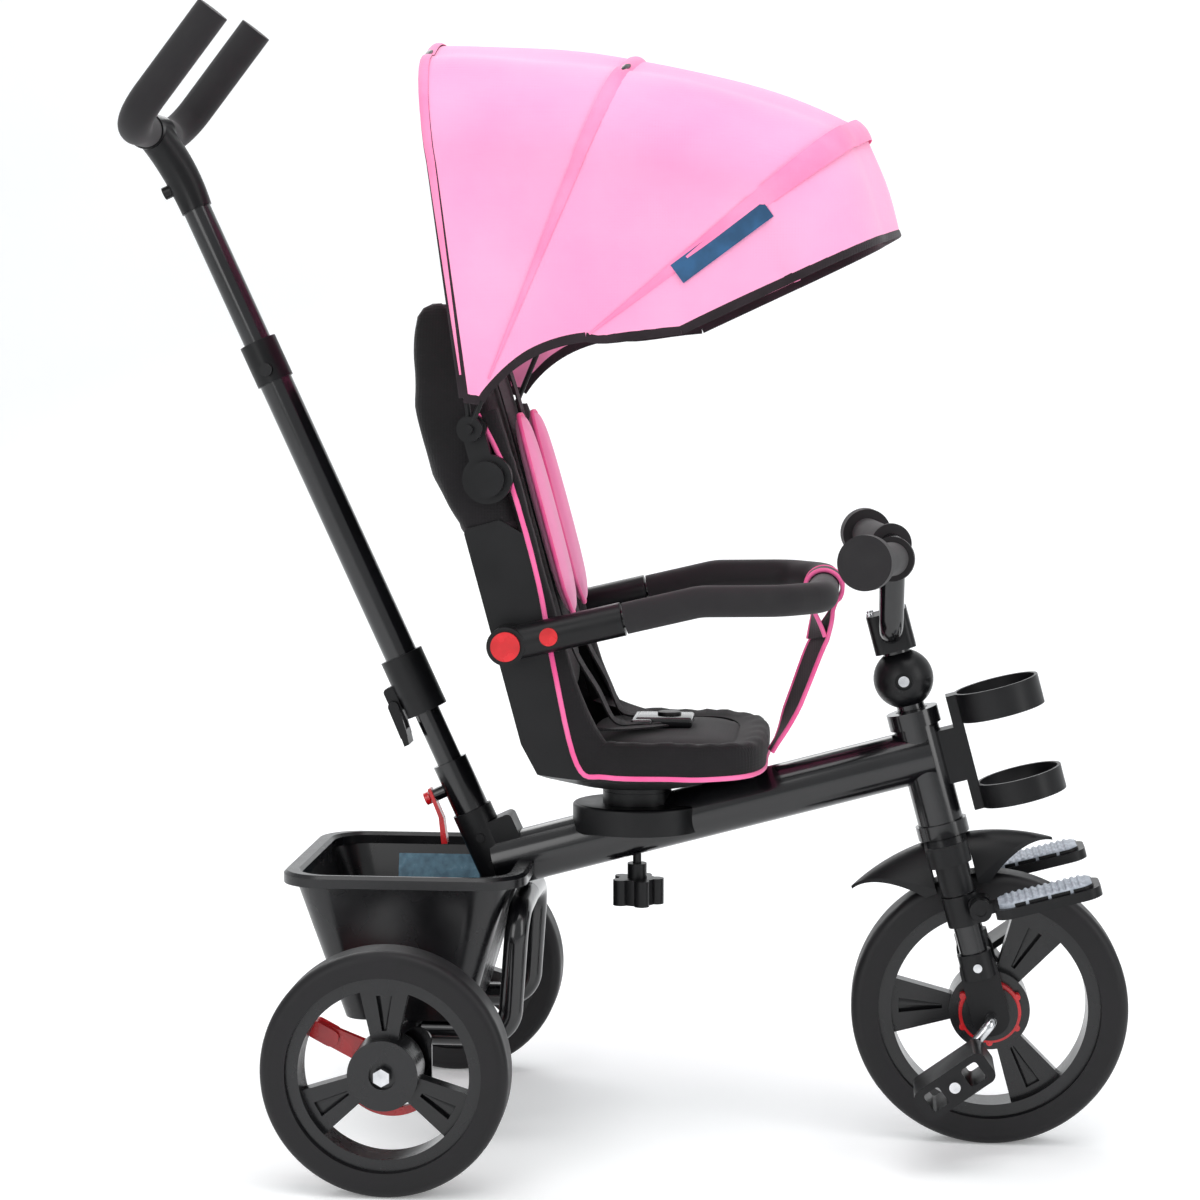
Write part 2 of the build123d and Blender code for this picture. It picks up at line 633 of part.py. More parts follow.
with BuildPart() as release_pin:
    pin_back = Plane(origin=pole.from_local_coords(Vector(-36, 68, 0)), z_dir=pole.x_dir)
    disc(pin_back, 3, 0, 29)
    disc(pin_back, 6, 0, 5)
with BuildPart() as release_tab:
    with BuildSketch(aside(pole, 0, 0, 0)):
        Polygon((-29.5, 76), (-26.5, 76), (-27, 45), (-34, 22), (-39, 24), (-31, 48), align=None)
    extrude(amount=6, both=True)
    disc(pin_back, 3, -5, 29, Mode.SUBTRACT)
    disc(pin_back, 6, -5, 5, Mode.SUBTRACT)
keep_group([release_pin, release_tab], "release_lever")

with BuildPart() as pole_middle:
    disc(across(pole, 0), middle_radius, clamp_foot + 6, middle_high)
    disc(across(pole, 0), upper_radius + sliding_fit, clamp_foot, middle_high + 1, Mode.SUBTRACT)
keep(pole_middle, "pole_middle")

lever_up = 160
lever_back = -25
with BuildPart() as pole_clamp:
    disc(across(pole, 0), 20.5, clamp_foot, clamp_top)
    with BuildSketch(aside(pole, 0, 0, 0)):
        with Locations((-20, lever_up + 6)):
            RectangleRounded(18, 24, 4)
    extrude(amount=8, both=True)
    disc(across(pole, 0), middle_radius, clamp_foot + 6, clamp_top, Mode.SUBTRACT)
    disc(across(pole, 0), stub_radius, clamp_foot, clamp_top, Mode.SUBTRACT)
    disc(aside(pole, lever_back, lever_up, 0), 2.5 + sliding_fit, -30, 30, Mode.SUBTRACT)
with BuildPart() as quick_release:
    disc(aside(pole, lever_back, lever_up, 0), 2.5, -13, 13)
    for right in (-11, 11):
        with BuildSketch(aside(pole, 0, 0, right)):
            with Locations((lever_back, lever_up)):
                Circle(5)
            Polygon((lever_back - 5, lever_up), (lever_back + 5, lever_up), (lever_back + 1, lever_up - 30),
                    (lever_back - 6, lever_up - 30), align=None)
        extrude(amount=2, both=True)
    with BuildSketch(aside(pole, 0, 0, 0)):
        Polygon((lever_back + 2, lever_up - 24), (lever_back - 5, lever_up - 24), (lever_back - 6, lever_up - 38),
                (lever_back - 1, lever_up - 38), align=None)
    extrude(amount=13, both=True)
keep(quick_release, "quick_release")

with BuildPart() as pole_collar:
    disc(across(pole, 0), middle_radius + 2, middle_high - 32, middle_high + 8)
    disc(across(pole, 0), middle_radius, middle_high - 33, middle_high, Mode.SUBTRACT)
    disc(across(pole, 0), upper_radius + sliding_fit, middle_high, middle_high + 8, Mode.SUBTRACT)
    disc(aside(pole, 0, middle_high - 20, 0), 6 + sliding_fit, 14, 19, Mode.SUBTRACT)
keep_group([pole_clamp, pole_collar], "pole_collars")

with BuildPart() as height_button:
    disc(aside(pole, 0, middle_high - 20, 0), 6, middle_radius + 1.8, middle_radius + 6)
keep(height_button, "height_button")

tee_foot = 655
tee_up = 737
tee_radius = 14.5
with BuildPart() as pole_upper:
    disc(across(pole, 0), upper_radius, 330, tee_foot + 20)
grip_radius_u = 15.5
cross_half = 90
core_radius = 10
tee_back = -8
with BuildPart() as tee:
    with BuildSketch(across(pole, tee_foot)):
        Circle(tee_radius)
    with BuildSketch(across(pole, tee_foot + 45, -1)):
        Circle(tee_radius + 2)
    with BuildSketch(across(pole, tee_up, tee_back)):
        RectangleRounded(33, 50, 15)
    loft()
    with BuildSketch(aside(pole, tee_back, tee_up, 0)):
        Circle(17)
    extrude(amount=25, both=True)
    disc(across(pole, 0), upper_radius, tee_foot - 5, tee_foot + 20, Mode.SUBTRACT)
    disc(aside(pole, tee_back, tee_up, 0), core_radius, -40, 40, Mode.SUBTRACT)
    button_plane = Plane(origin=pole.from_local_coords(Vector(-22, tee_foot + 26, 0)), z_dir=pole.x_dir)
    disc(button_plane, 6 + sliding_fit, 0, 10.5, Mode.SUBTRACT)
with BuildPart() as grip_button:
    disc(button_plane, 6, 0, 10.5)
keep_group([tee, grip_button], "handle_tee")

cross_centre = pole.from_local_coords(Vector(tee_back, tee_up, 0))
prong_angle = 52
prong_run = Vector(math.cos(math.radians(prong_angle)), 0, math.sin(math.radians(prong_angle)))
prong_length = 124
bend = 34
u_points = [cross_centre + Vector(0, -cross_half, 0) + prong_run * prong_length,
            cross_centre + Vector(0, -cross_half, 0),
            cross_centre + Vector(0, cross_half, 0),
            cross_centre + Vector(0, cross_half, 0) + prong_run * prong_length]
with BuildPart() as handle_core:
    bent_bar(u_points, [bend, bend], core_radius)
keep_group([pole_upper, handle_core], "pole_upper")

foams = []
for side in (1, -1):
    far = cross_centre + Vector(0, side * cross_half, 0)
    with BuildPart() as foam:
        bent_bar([cross_centre + Vector(0, side * 25.5, 0), far, far + prong_run * (prong_length + 5)], [bend],
                 grip_radius_u)
        bent_bar([cross_centre, far, far + prong_run * prong_length], [bend], core_radius, Mode.SUBTRACT)
    foams.append(foam)
keep_group(foams, "handle_foam")

# ---- seat: hard shell on a turntable, board, cushions and covers
seat_half = 120
shell_wall = 5
shell_floor = saddle_top + 9
bowl_radius = 60


def back_point(forward, up):
    """place in the leaning backrest frame as (forward of the rear axle, height)"""
    c = math.cos(math.radians(back_lean))
    s = math.sin(math.radians(back_lean))
    return (back_x + forward * c - up * s, back_z + forward * s + up * c)


def plan_outline(half, front, corner):
    """seat plan with round front corners"""
    with BuildSketch(Plane(origin=spot(0, 0))) as plan:
        with Locations((front / 2 - 100, 0)):
            RectangleRounded(front + 200, 2 * half, corner)
    return plan.sketch


with BuildPart() as turntable:
    rod(spot(seat_axis_x, saddle_top + clear), spot(seat_axis_x, shell_floor), swivel_radius)
    rod(spot(seat_axis_x, saddle_top - 3.5), spot(seat_axis_x, saddle_top + clear), saddle_bore - sliding_fit)
shell_front = 320


def above_bowl(lift):
    """everything above the seat's dished underside, which clears the sloping tube all the way round"""
    far = 250
    with BuildPart() as space:
        with BuildSketch(Plane(origin=spot(seat_axis_x, 0), x_dir=(1, 0, 0), z_dir=(0, -1, 0))) as section:
            Polygon((0, shell_floor + lift), (bowl_radius, shell_floor + lift),
                    (far, shell_floor + lift + (far - bowl_radius) * tube_slope), (far, 700), (0, 700), align=None)
        revolve(section.sketch, axis=Axis(spot(seat_axis_x, 0), (0, 0, 1)))
    return space.part


with BuildPart() as hollow:
    with BuildSketch(side_view):
        Polygon(back_point(-5, 260), back_point(-5, 43), (135, shell_floor + 10), (154, shell_floor + shell_wall),
                (266, shell_floor + shell_wall), (303, 350), (shell_front - 7, 372), (shell_front - 7, 500),
                back_point(150, 260), align=None)
    extrude(amount=seat_half - shell_wall, both=True)
    extrude(plan_outline(seat_half - shell_wall, shell_front - shell_wall, 47), amount=800, mode=Mode.INTERSECT)
    add(above_bowl(shell_wall), mode=Mode.INTERSECT)

with BuildPart() as shell:
    with BuildSketch(side_view) as profile:
        Polygon(back_point(-10, 240), back_point(-10, 42), (131, shell_floor + 6), (152, shell_floor),
                (268, shell_floor), (308, 346), (shell_front, 372), (178, 376), back_point(42, 70),
                back_point(42, 222), back_point(24, 240), align=None)
        fillet(profile.vertices(), radius=5)
    extrude(amount=seat_half, both=True)
    extrude(plan_outline(seat_half, shell_front, 52), amount=800, mode=Mode.INTERSECT)
    add(above_bowl(0), mode=Mode.INTERSECT)
    add(hollow.part, mode=Mode.SUBTRACT)
board_half = 106
board_top = 424
with BuildPart() as board:
    with BuildSketch(back):
        Polygon((-5, 46), (32, 46), (32, board_top - 40), (-1, board_top), (-5, board_top), align=None)
    extrude(amount=board_half, both=True)
    with BuildSketch(back):
        Polygon((-1, 30), (60, 30), (60, board_top + 5), (-1, board_top + 5), align=None)
    extrude(amount=board_half - 5, both=True, mode=Mode.SUBTRACT)
keep(board, "back_board")

cushion_half = 100
with BuildPart() as back_cushion:
    with BuildSketch(back):
        with Locations((22, 238)):
            RectangleRounded(45, 366, 14)
    extrude(amount=cushion_half, both=True)
keep(back_cushion, "back_cushion")

with BuildPart() as seat_cushion:
    with BuildSketch(Plane(origin=spot(0, shell_floor + shell_wall + clear))):
        with Locations((228, 0)):
            RectangleRounded(160, 2 * cushion_half + 18, 52)
    extrude(amount=50)
    with BuildSketch(side_view):
        Polygon((156, 320), (150, 394), (200, 385), (400, 370), (306, 367), (300, 352),
                (263, shell_floor + shell_wall + clear), align=None)
    extrude(amount=200, both=True, mode=Mode.INTERSECT)
    add(above_bowl(shell_wall + clear), mode=Mode.INTERSECT)
    with BuildSketch(back):
        with Locations((20, 240)):
            Rectangle(51, 480)
    extrude(amount=200, both=True, mode=Mode.SUBTRACT)
keep(seat_cushion, "seat_cushion")

cover_half = 121
tilt_forward, tilt_up = 24.8, 278
bolt_boss_radius = 12
with BuildPart() as rear_cover:
    with BuildSketch(back) as outline:
        Polygon((-10.5, 241), (-27, 292), (-25, 358), (-8, 432), (8, 438), (36, 418), (43, 360), (43, 241), align=None)
        fillet(outline.vertices(), radius=6)
    extrude(amount=cover_half, both=True)
    with BuildSketch(back):
        with Locations((47.7, 320)):
            Rectangle(106, 2 * (board_top + clear - 320))
    extrude(amount=board_half + clear, both=True, mode=Mode.SUBTRACT)
    disc(aside(back, tilt_forward, tilt_up, 0), bolt_boss_radius, -seat_half * 2, seat_half * 2, Mode.SUBTRACT)
keep(rear_cover, "rear_cover")

pad_half_wide = 24
with BuildPart() as shoulder_pads:
    for side in (1, -1):
        with BuildSketch(back.offset(side * 52)):
            with Locations((51.9, 243)):
                RectangleRounded(11, 172, 5)
        extrude(amount=pad_half_wide, both=True)
strap_half = 12
with BuildPart() as harness:
    for side in (1, -1):
        with BuildSketch(back.offset(side * 52)):
            with Locations((45.6, 245)):
                Rectangle(1.6, 280)
        extrude(amount=strap_half, both=True)
with BuildPart() as buckle:
    with BuildSketch(Plane(origin=spot(228, 384.6))):
        RectangleRounded(44, 62, 10)
    extrude(amount=12)
keep_group([shoulder_pads, harness, buckle], "harness")

# ---- safety bar: pins on the shell, sockets, bent tube in foam, buttons
bar_pivot_x, bar_pivot_z = 98, 474
pivot = spot(bar_pivot_x, bar_pivot_z)
pin_radius = 6
socket_inner, socket_outer = 122, 153
bar_side = 138
bar_tube_radius = 8
foam_radius = 14
bend_x, bend_z = 268, 514


def on_arm(forward):
    """place on the straight rear part of the safety bar's arm, at the given distance forward"""
    return (forward, bar_pivot_z + (forward - bar_pivot_x) * (bend_z - bar_pivot_z) / (bend_x - bar_pivot_x))


with BuildPart() as bar_pins:
    for side in (1, -1):
        rod(spot(bar_pivot_x, bar_pivot_z, side * seat_half), spot(bar_pivot_x, bar_pivot_z, side * 144), pin_radius)
        rod(spot(bar_pivot_x, bar_pivot_z, side * seat_half),
            spot(bar_pivot_x, bar_pivot_z, side * (socket_inner - clear)), pin_radius + 8)
keep_group([shell, turntable, bar_pins], "seat_shell")

button_radius = 13
latch_radius = 8
latch_x, latch_z = 136, 483
sockets = []
for name, side in (("left", 1), ("right", -1)):
    start = spot(bar_pivot_x, bar_pivot_z, side * bar_side)
    finish = spot(*on_arm(200), side * bar_side)
    with BuildPart() as socket:
        rod(spot(bar_pivot_x, bar_pivot_z, side * socket_inner), spot(bar_pivot_x, bar_pivot_z, side * socket_outer),
            17)
        rod(start, finish, 15)
        rod(spot(*on_arm(150), side * bar_side), spot(*on_arm(240), side * bar_side), bar_tube_radius, Mode.SUBTRACT)
        rod(spot(bar_pivot_x, bar_pivot_z, side * 100), spot(bar_pivot_x, bar_pivot_z, side * 144.5),
            pin_radius + sliding_fit, Mode.SUBTRACT)
        rod(spot(bar_pivot_x, bar_pivot_z, side * 148), spot(bar_pivot_x, bar_pivot_z, side * 160),
            button_radius + sliding_fit, Mode.SUBTRACT)
        rod(spot(latch_x, latch_z, side * 148), spot(latch_x, latch_z, side * 160), latch_radius + sliding_fit,
            Mode.SUBTRACT)
    sockets.append(socket)
    with BuildPart() as button:
        rod(spot(bar_pivot_x, bar_pivot_z, side * 150.5), spot(bar_pivot_x, bar_pivot_z, side * 156), button_radius)
    keep(button, "pivot_button_" + name)
    with BuildPart() as latch:
        rod(spot(latch_x, latch_z, side * 149.5), spot(latch_x, latch_z, side * 154.5), latch_radius)
    keep(latch, "latch_button_" + name)

keep_group(sockets, "bar_sockets")

bar_front_x, bar_front_z = 374, 515
bar_radii = [60, 36, 40, 40, 36, 60]


def bar_route(start):
    """route of the safety bar from a place on the right arm round to the same place on the left"""
    half = [spot(*on_arm(start), -bar_side), spot(bend_x, bend_z, -bar_side), spot(338, bar_front_z, -bar_side),
            spot(bar_front_x, bar_front_z, -bar_side + 38)]
    return half + [Vector(p.X, -p.Y, p.Z) for p in reversed(half)]


with BuildPart() as bar_tube:
    bent_bar(bar_route(152), bar_radii, bar_tube_radius)
keep(bar_tube, "bar_tube")

with BuildPart() as bar_foam:
    bent_bar(bar_route(202), bar_radii, foam_radius)
    bent_bar(bar_route(152), bar_radii, bar_tube_radius, Mode.SUBTRACT)
keep(bar_foam, "bar_foam")

crotch_half = 17
with BuildPart() as crotch_strap:
    with BuildSketch(side_view):
        with Locations((bar_front_x, bar_front_z)):
            Circle(foam_radius + clear + 3)
            Circle(foam_radius + clear, mode=Mode.SUBTRACT)
        Polygon((bar_front_x - 8, bar_front_z - 15.4), (bar_front_x + 8, bar_front_z - 15.4), (bar_front_x + 2, 465),
                (340, 382), (336, 384), (bar_front_x - 3, 466), align=None)
    extrude(amount=crotch_half, both=True)
keep(crotch_strap, "crotch_strap")

# ---- canopy
canopy_x, canopy_z = 66, 664
rear_angle, middle_angle, front_angle, brim_angle = -7.4, 22.7, 52.1, 65
rear_length, middle_length, front_length, brim_length = 348, 358, 433, 414
side_low, side_high = 156, 168
fabric = 2
rib_radius = 2.5
rib_inset = 5.6             # hoop centre line inside the fabric's outer face
crown_drop = 16
panel_low = 28
rib_layers = {"rear": 138.8, "middle": 144.4, "front": 150}


def rib_plane(angle):
    """plane of one canopy hoop: x to the left, y out from the pivot"""
    c = math.cos(math.radians(angle))
    s = math.sin(math.radians(angle))
    return Plane(origin=spot(canopy_x, canopy_z), x_dir=(0, 1, 0), z_dir=(c, 0, -s))


def side_at(low, length):
    """half width of the fabric at a distance from the pivot"""
    return side_low + (side_high - side_low) * (low - panel_low) / (length - crown_drop - panel_low)


def hoop_points(low_side, low, high_side, length):
    return [(-low_side, low), (-high_side, length - crown_drop), (0, length), (high_side, length - crown_drop),
            (low_side, low)]


def hoop_band(angle, low, length):
    """U-shaped section of the fabric in one hoop plane"""
    with BuildSketch(rib_plane(angle)) as band:
        for inset, mode in ((0, Mode.ADD), (fabric, Mode.SUBTRACT)):
            start = low - 4 * inset
            points = hoop_points(side_at(low, length) - inset, start, side_high - inset, length - inset)
            with BuildLine() as outline:
                FilletPolyline(*points, radius=[85 - inset, 300, 85 - inset])
                Line(points[-1], points[0])
            make_face(outline.line.edges(), mode=mode)
    return band.sketch


def fabric_panel(start_angle, start_low, start_length, end_angle, end_low, end_length):
    with BuildPart() as panel:
        loft([hoop_band(start_angle, start_low, start_length), hoop_band(end_angle, end_low, end_length)])
    return panel


half_gap = 0.06
keep(fabric_panel(rear_angle, panel_low, rear_length, middle_angle - half_gap, panel_low, middle_length),
     "canopy_rear_panel")
keep(fabric_panel(middle_angle + half_gap, panel_low, middle_length, front_angle - half_gap, panel_low,
                  front_length), "canopy_front_panel")
brim = fabric_panel(front_angle + half_gap, 131, front_length, brim_angle, 205, brim_length)

ribs = {}
for name, angle, length in (("rear", rear_angle, rear_length), ("middle", middle_angle, middle_length),
                            ("front", front_angle, front_length)):
    layer = rib_layers[name]
    with BuildPart() as rib:
        points = hoop_points(layer, 4, layer + 9, length - rib_inset)
        with BuildLine(rib_plane(angle)) as route:
            FilletPolyline(*points, radius=[78, 300, 78])
        path = route.wire()
        with BuildSketch(Plane(origin=path @ 0, z_dir=path % 0)) as section:
            Circle(rib_radius)
        sweep(section.sketch, path=path)
        for side in (1, -1):
            rod(spot(canopy_x, canopy_z, side * (layer - rib_radius)),
                spot(canopy_x, canopy_z, side * (layer + rib_radius)), 11)
        rod(spot(canopy_x, canopy_z, -200), spot(canopy_x, canopy_z, 200), 4 + sliding_fit, Mode.SUBTRACT)
    ribs[name] = rib
keep(ribs["middle"], "canopy_middle_rib")
keep_group([ribs["front"], brim], "canopy_front_rib")

bracket_inner, bracket_outer = 124, 135.8
with BuildPart() as canopy_brackets:
    for side in (1, -1):
        low, high = (bracket_inner, bracket_outer) if side > 0 else (-bracket_outer, -bracket_inner)
        with BuildSketch(aside(back, 0, 0, side * bracket_inner)):
            with Locations((tilt_forward, tilt_up)):
                Circle(22)
            with Locations((22.7, 324)):
                Circle(13)
            with Locations((23.7, 302)):
                Rectangle(20, 40)
        extrude(amount=side * (bracket_outer - bracket_inner))
        rod(spot(canopy_x, canopy_z, side * bracket_outer), spot(canopy_x, canopy_z, side * 153.5), 4)
        disc(aside(back, tilt_forward, tilt_up, 0), 6 + sliding_fit, side * 100, side * 200, Mode.SUBTRACT)
keep_group([canopy_brackets, ribs["rear"]], "canopy_brackets")

with BuildPart() as tilt_bolts:
    for side in (1, -1):
        disc(aside(back, tilt_forward, tilt_up, 0), 6, side * board_half, side * (bracket_outer + 0.6))
        disc(aside(back, tilt_forward, tilt_up, 0), 16, side * (bracket_outer + clear), side * (bracket_outer + 9))
        disc(aside(back, tilt_forward, tilt_up, 0), bolt_boss_radius, side * board_half, side * (bracket_inner - clear))
keep(tilt_bolts, "rosette_knobs")
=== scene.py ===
import json
import math
import bpy
from mathutils import Matrix, Vector


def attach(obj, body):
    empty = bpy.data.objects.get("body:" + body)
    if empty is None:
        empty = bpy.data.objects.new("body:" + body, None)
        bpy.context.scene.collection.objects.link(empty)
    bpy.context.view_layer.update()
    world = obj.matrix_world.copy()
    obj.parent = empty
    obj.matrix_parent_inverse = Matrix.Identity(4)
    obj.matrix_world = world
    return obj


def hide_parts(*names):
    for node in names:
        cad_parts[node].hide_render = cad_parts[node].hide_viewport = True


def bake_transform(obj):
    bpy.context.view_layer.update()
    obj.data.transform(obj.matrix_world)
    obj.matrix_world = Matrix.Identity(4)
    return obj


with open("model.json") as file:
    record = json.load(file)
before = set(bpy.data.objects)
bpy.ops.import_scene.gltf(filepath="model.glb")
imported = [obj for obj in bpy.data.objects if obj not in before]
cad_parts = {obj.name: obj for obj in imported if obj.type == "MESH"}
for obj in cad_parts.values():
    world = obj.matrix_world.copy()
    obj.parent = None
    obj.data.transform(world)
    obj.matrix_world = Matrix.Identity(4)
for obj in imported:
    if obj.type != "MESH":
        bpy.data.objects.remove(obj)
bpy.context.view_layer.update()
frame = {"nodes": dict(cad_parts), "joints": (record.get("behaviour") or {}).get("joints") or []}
joints = {joint["name"]: joint for joint in frame["joints"]}


def jointAt(name):
    return Vector(joints[name]["pos_m"])


def toLinear(code):  # sRGB hex to the linear colour that shaders want
    channels = [int(code[i:i + 2], 16) / 255 for i in (1, 3, 5)]
    return tuple(c / 12.92 if c <= 0.04045 else ((c + 0.055) / 1.055) ** 2.4 for c in channels) + (1.0,)


def addNode(tree, kind, inputs=None, **settings):  # inputs: socket name -> value, or (node, output) to link
    node = tree.nodes.new(kind)
    for name, value in settings.items():
        setattr(node, name, value)
    for name, value in (inputs or {}).items():
        if isinstance(value, tuple) and len(value) == 2 and isinstance(value[0], bpy.types.Node):
            tree.links.new(value[0].outputs[value[1]], node.inputs[name])
        else:
            node.inputs[name].default_value = value
    return node


def newMaterial(name, **shader):  # a Principled material with its constants on the shader's own sockets
    material = bpy.data.materials.new(name)
    material.use_nodes = True
    tree = material.node_tree
    surface = tree.nodes["Principled BSDF"]
    for socket, value in shader.items():
        surface.inputs[socket.replace("_", " ")].default_value = value
    return material, tree, surface


def grainBump(tree, surface, coords, grainMm, depthMm, detail=2.0):  # fine surface grain of a real size
    noise = addNode(tree, "ShaderNodeTexNoise", {"Vector": (coords, "Object"), "Scale": 1000 / grainMm,
                                                 "Detail": detail})
    bump = addNode(tree, "ShaderNodeBump", {"Height": (noise, 0), "Distance": depthMm / 1000, "Strength": 0.6})
    tree.links.new(bump.outputs[0], surface.inputs["Normal"])
    return noise


def colourDrift(tree, surface, coords, dark, light, patchMm):  # slow change of tone over the piece
    drift = addNode(tree, "ShaderNodeTexNoise", {"Vector": (coords, "Object"), "Scale": 1000 / patchMm,
                                                 "Detail": 4.0})
    ramp = addNode(tree, "ShaderNodeValToRGB", {"Fac": (drift, 0)})
    ramp.color_ramp.elements[0].position = 0.35
    ramp.color_ramp.elements[0].color = toLinear(dark)
    ramp.color_ramp.elements[1].position = 0.65
    ramp.color_ramp.elements[1].color = toLinear(light)
    tree.links.new(ramp.outputs[0], surface.inputs["Base Color"])
    return drift


def roughnessDrift(tree, surface, drift, low, high):  # handling marks: duller in patches
    spread = addNode(tree, "ShaderNodeMapRange", {"Value": (drift, 0), "From Min": 0.3, "From Max": 0.7,
                                                  "To Min": low, "To Max": high})
    tree.links.new(spread.outputs[0], surface.inputs["Roughness"])


def mouldedMaterial(name, dark, light, low, high, grainMm, depthMm, patchMm, **shader):
    material, tree, surface = newMaterial(name, **shader)
    coords = addNode(tree, "ShaderNodeTexCoord")
    drift = colourDrift(tree, surface, coords, dark, light, patchMm)
    roughnessDrift(tree, surface, drift, low, high)
    grainBump(tree, surface, coords, grainMm, depthMm)
    return material


# powder-coated steel: sprayed and baked, so glossy with a faint orange peel
powderCoat = mouldedMaterial("PowderCoatedSteel", "#08080A", "#0D0D10", 0.16, 0.24, 3.0, 0.03, 60,
                             Coat_Weight=0.35, Coat_Roughness=0.08)
# polypropylene with a spark-eroded satin finish; its 0.2 mm grain is drawn at 0.9 mm so that it shows
satinPolypropylene = mouldedMaterial("SatinPolypropylene", "#09090B", "#101012", 0.3, 0.44, 0.9, 0.02, 45,
                                    Specular_IOR_Level=0.3)
# the basket and rims come from a polished mould, so they take long reflections
glossPolypropylene = mouldedMaterial("GlossPolypropylene", "#0A0A0C", "#101013", 0.2, 0.32, 2.4, 0.012, 50)
# closed-cell EVA foam tyre: matt skin with moulding swirls
evaTyre = mouldedMaterial("EvaFoamTyre", "#0C0B0D", "#141215", 0.42, 0.58, 1.2, 0.05, 30, Specular_IOR_Level=0.35)
# NBR foam sleeve: open soft skin, velvety
nbrFoam = mouldedMaterial("NbrFoamSleeve", "#120F12", "#1A171A", 0.74, 0.88, 0.8, 0.09, 25, Sheen_Weight=0.12,
                          Sheen_Roughness=0.5)
# glossy coloured ABS buttons and levers
redAbs = mouldedMaterial("RedAbs", "#BE0A14", "#DB1420", 0.2, 0.32, 1.4, 0.012, 20, Coat_Weight=0.3,
                         Coat_Roughness=0.1)
# zinc-plated and chromed steel: bright with a brushed haze
platedSteel = mouldedMaterial("PlatedSteel", "#B9BBBE", "#DADBDD", 0.14, 0.26, 0.8, 0.006, 12, Metallic=1.0)
greyRubber = mouldedMaterial("GreyRubber", "#8D959F", "#B7BEC7", 0.5, 0.66, 1.0, 0.05, 9)


def finish(material, *names):
    for name in names:
        node = frame["nodes"][name]
        node.data.materials.clear()
        node.data.materials.append(material)


finish(powderCoat, "main_tube", "head_tube", "rear_frame", "fork", "handlebar", "bar_tube", "pole_stub",
       "pole_middle", "pole_upper")
finish(platedSteel, "rear_axle", "crank", "steering_screws")
finish(satinPolypropylene, "handle_socket", "cup_holder", "handlebar_stem", "leg_fittings", "seat_saddle",
       "seat_shell", "seat_knob", "pole_collars", "quick_release", "handle_tee", "height_button", "bar_sockets",
       "rosette_knobs", "canopy_brackets", "footrest_left", "footrest_right", "pedal_left", "pedal_right",
       "back_board", "headset_bushes", "front_fender", "canopy_middle_rib")
finish(glossPolypropylene, "basket", "rear_rim_left", "rear_rim_right", "front_rim")
finish(evaTyre, "rear_tyre_left", "rear_tyre_right", "front_tyre")
finish(nbrFoam, "handle_foam", "bar_foam", "handlebar_grips")
finish(redAbs, "brake_pedal_left", "brake_pedal_right", "clutch_ring", "release_lever", "pivot_button_left",
       "pivot_button_right", "latch_button_left", "latch_button_right")
print("frame finished")


# woven polyester: 0.6 mm thread spacing, drawn at about 1.3 mm so that the weave shows
def wovenMaterial(name, dark, light, threadMm, depthMm, patchMm, **shader):
    material, tree, surface = newMaterial(name, Roughness=0.82, Specular_IOR_Level=0.3, **shader)
    coords = addNode(tree, "ShaderNodeTexCoord")
    colourDrift(tree, surface, coords, dark, light, patchMm)
    waves = [addNode(tree, "ShaderNodeTexWave", {"Vector": (coords, "Object"), "Scale": 1000 / threadMm / 6.28,
                                                 "Distortion": 0.6, "Detail": 1.0},
                     wave_type="BANDS", bands_direction=direction) for direction in ("X", "Y", "Z")]
    pair = addNode(tree, "ShaderNodeMath", {0: (waves[0], "Fac"), 1: (waves[1], "Fac")}, operation="ADD")
    height = addNode(tree, "ShaderNodeMath", {0: (pair, "Value"), 1: (waves[2], "Fac")}, operation="ADD")
    bump = addNode(tree, "ShaderNodeBump", {"Height": (height, 0), "Distance": depthMm / 1000, "Strength": 0.5})
    tree.links.new(bump.outputs[0], surface.inputs["Normal"])
    return material


canopyCloth = wovenMaterial("PinkOxfordPolyester", "#FF9CC8", "#FFABD1", 1.3, 0.12, 150, Sheen_Weight=0.25,
                            Sheen_Roughness=0.45)
seamCloth = wovenMaterial("PinkSeamTape", "#FF86B4", "#FF98C2", 1.3, 0.12, 60, Sheen_Weight=0.2,
                          Sheen_Roughness=0.45)
padCloth = wovenMaterial("HotPinkPolyester", "#F7599A", "#FF78B0", 1.2, 0.14, 45, Sheen_Weight=0.3,
                         Sheen_Roughness=0.4)
blackCloth = wovenMaterial("BlackOxfordPolyester", "#0C0B0C", "#151215", 1.4, 0.18, 70, Sheen_Weight=0.1,
                           Sheen_Roughness=0.5)
bindingTape = wovenMaterial("CharcoalBindingTape", "#1E161A", "#291F25", 1.1, 0.12, 30, Sheen_Weight=0.15,
                            Sheen_Roughness=0.5)
blackWebbing = wovenMaterial("NylonWebbing", "#121113", "#1D1B1E", 1.6, 0.3, 20, Sheen_Weight=0.1,
                             Sheen_Roughness=0.4)
blueTape = mouldedMaterial("PrintedSatinTag", "#17466B", "#1F5682", 0.35, 0.5, 1.0, 0.02, 16)
tealFilm = mouldedMaterial("TealStickerFilm", "#2E637C", "#4C86A0", 0.12, 0.3, 5.0, 0.04, 8, Coat_Weight=0.5,
                           Coat_Roughness=0.06)
print("cloth ready")


# building helpers
def newPiece(name, vertices, faces, material):
    mesh = bpy.data.meshes.new(name)
    mesh.from_pydata([tuple(v) for v in vertices], [], faces)
    mesh.materials.append(material)
    piece = bpy.data.objects.new(name, mesh)
    bpy.context.scene.collection.objects.link(piece)
    return piece


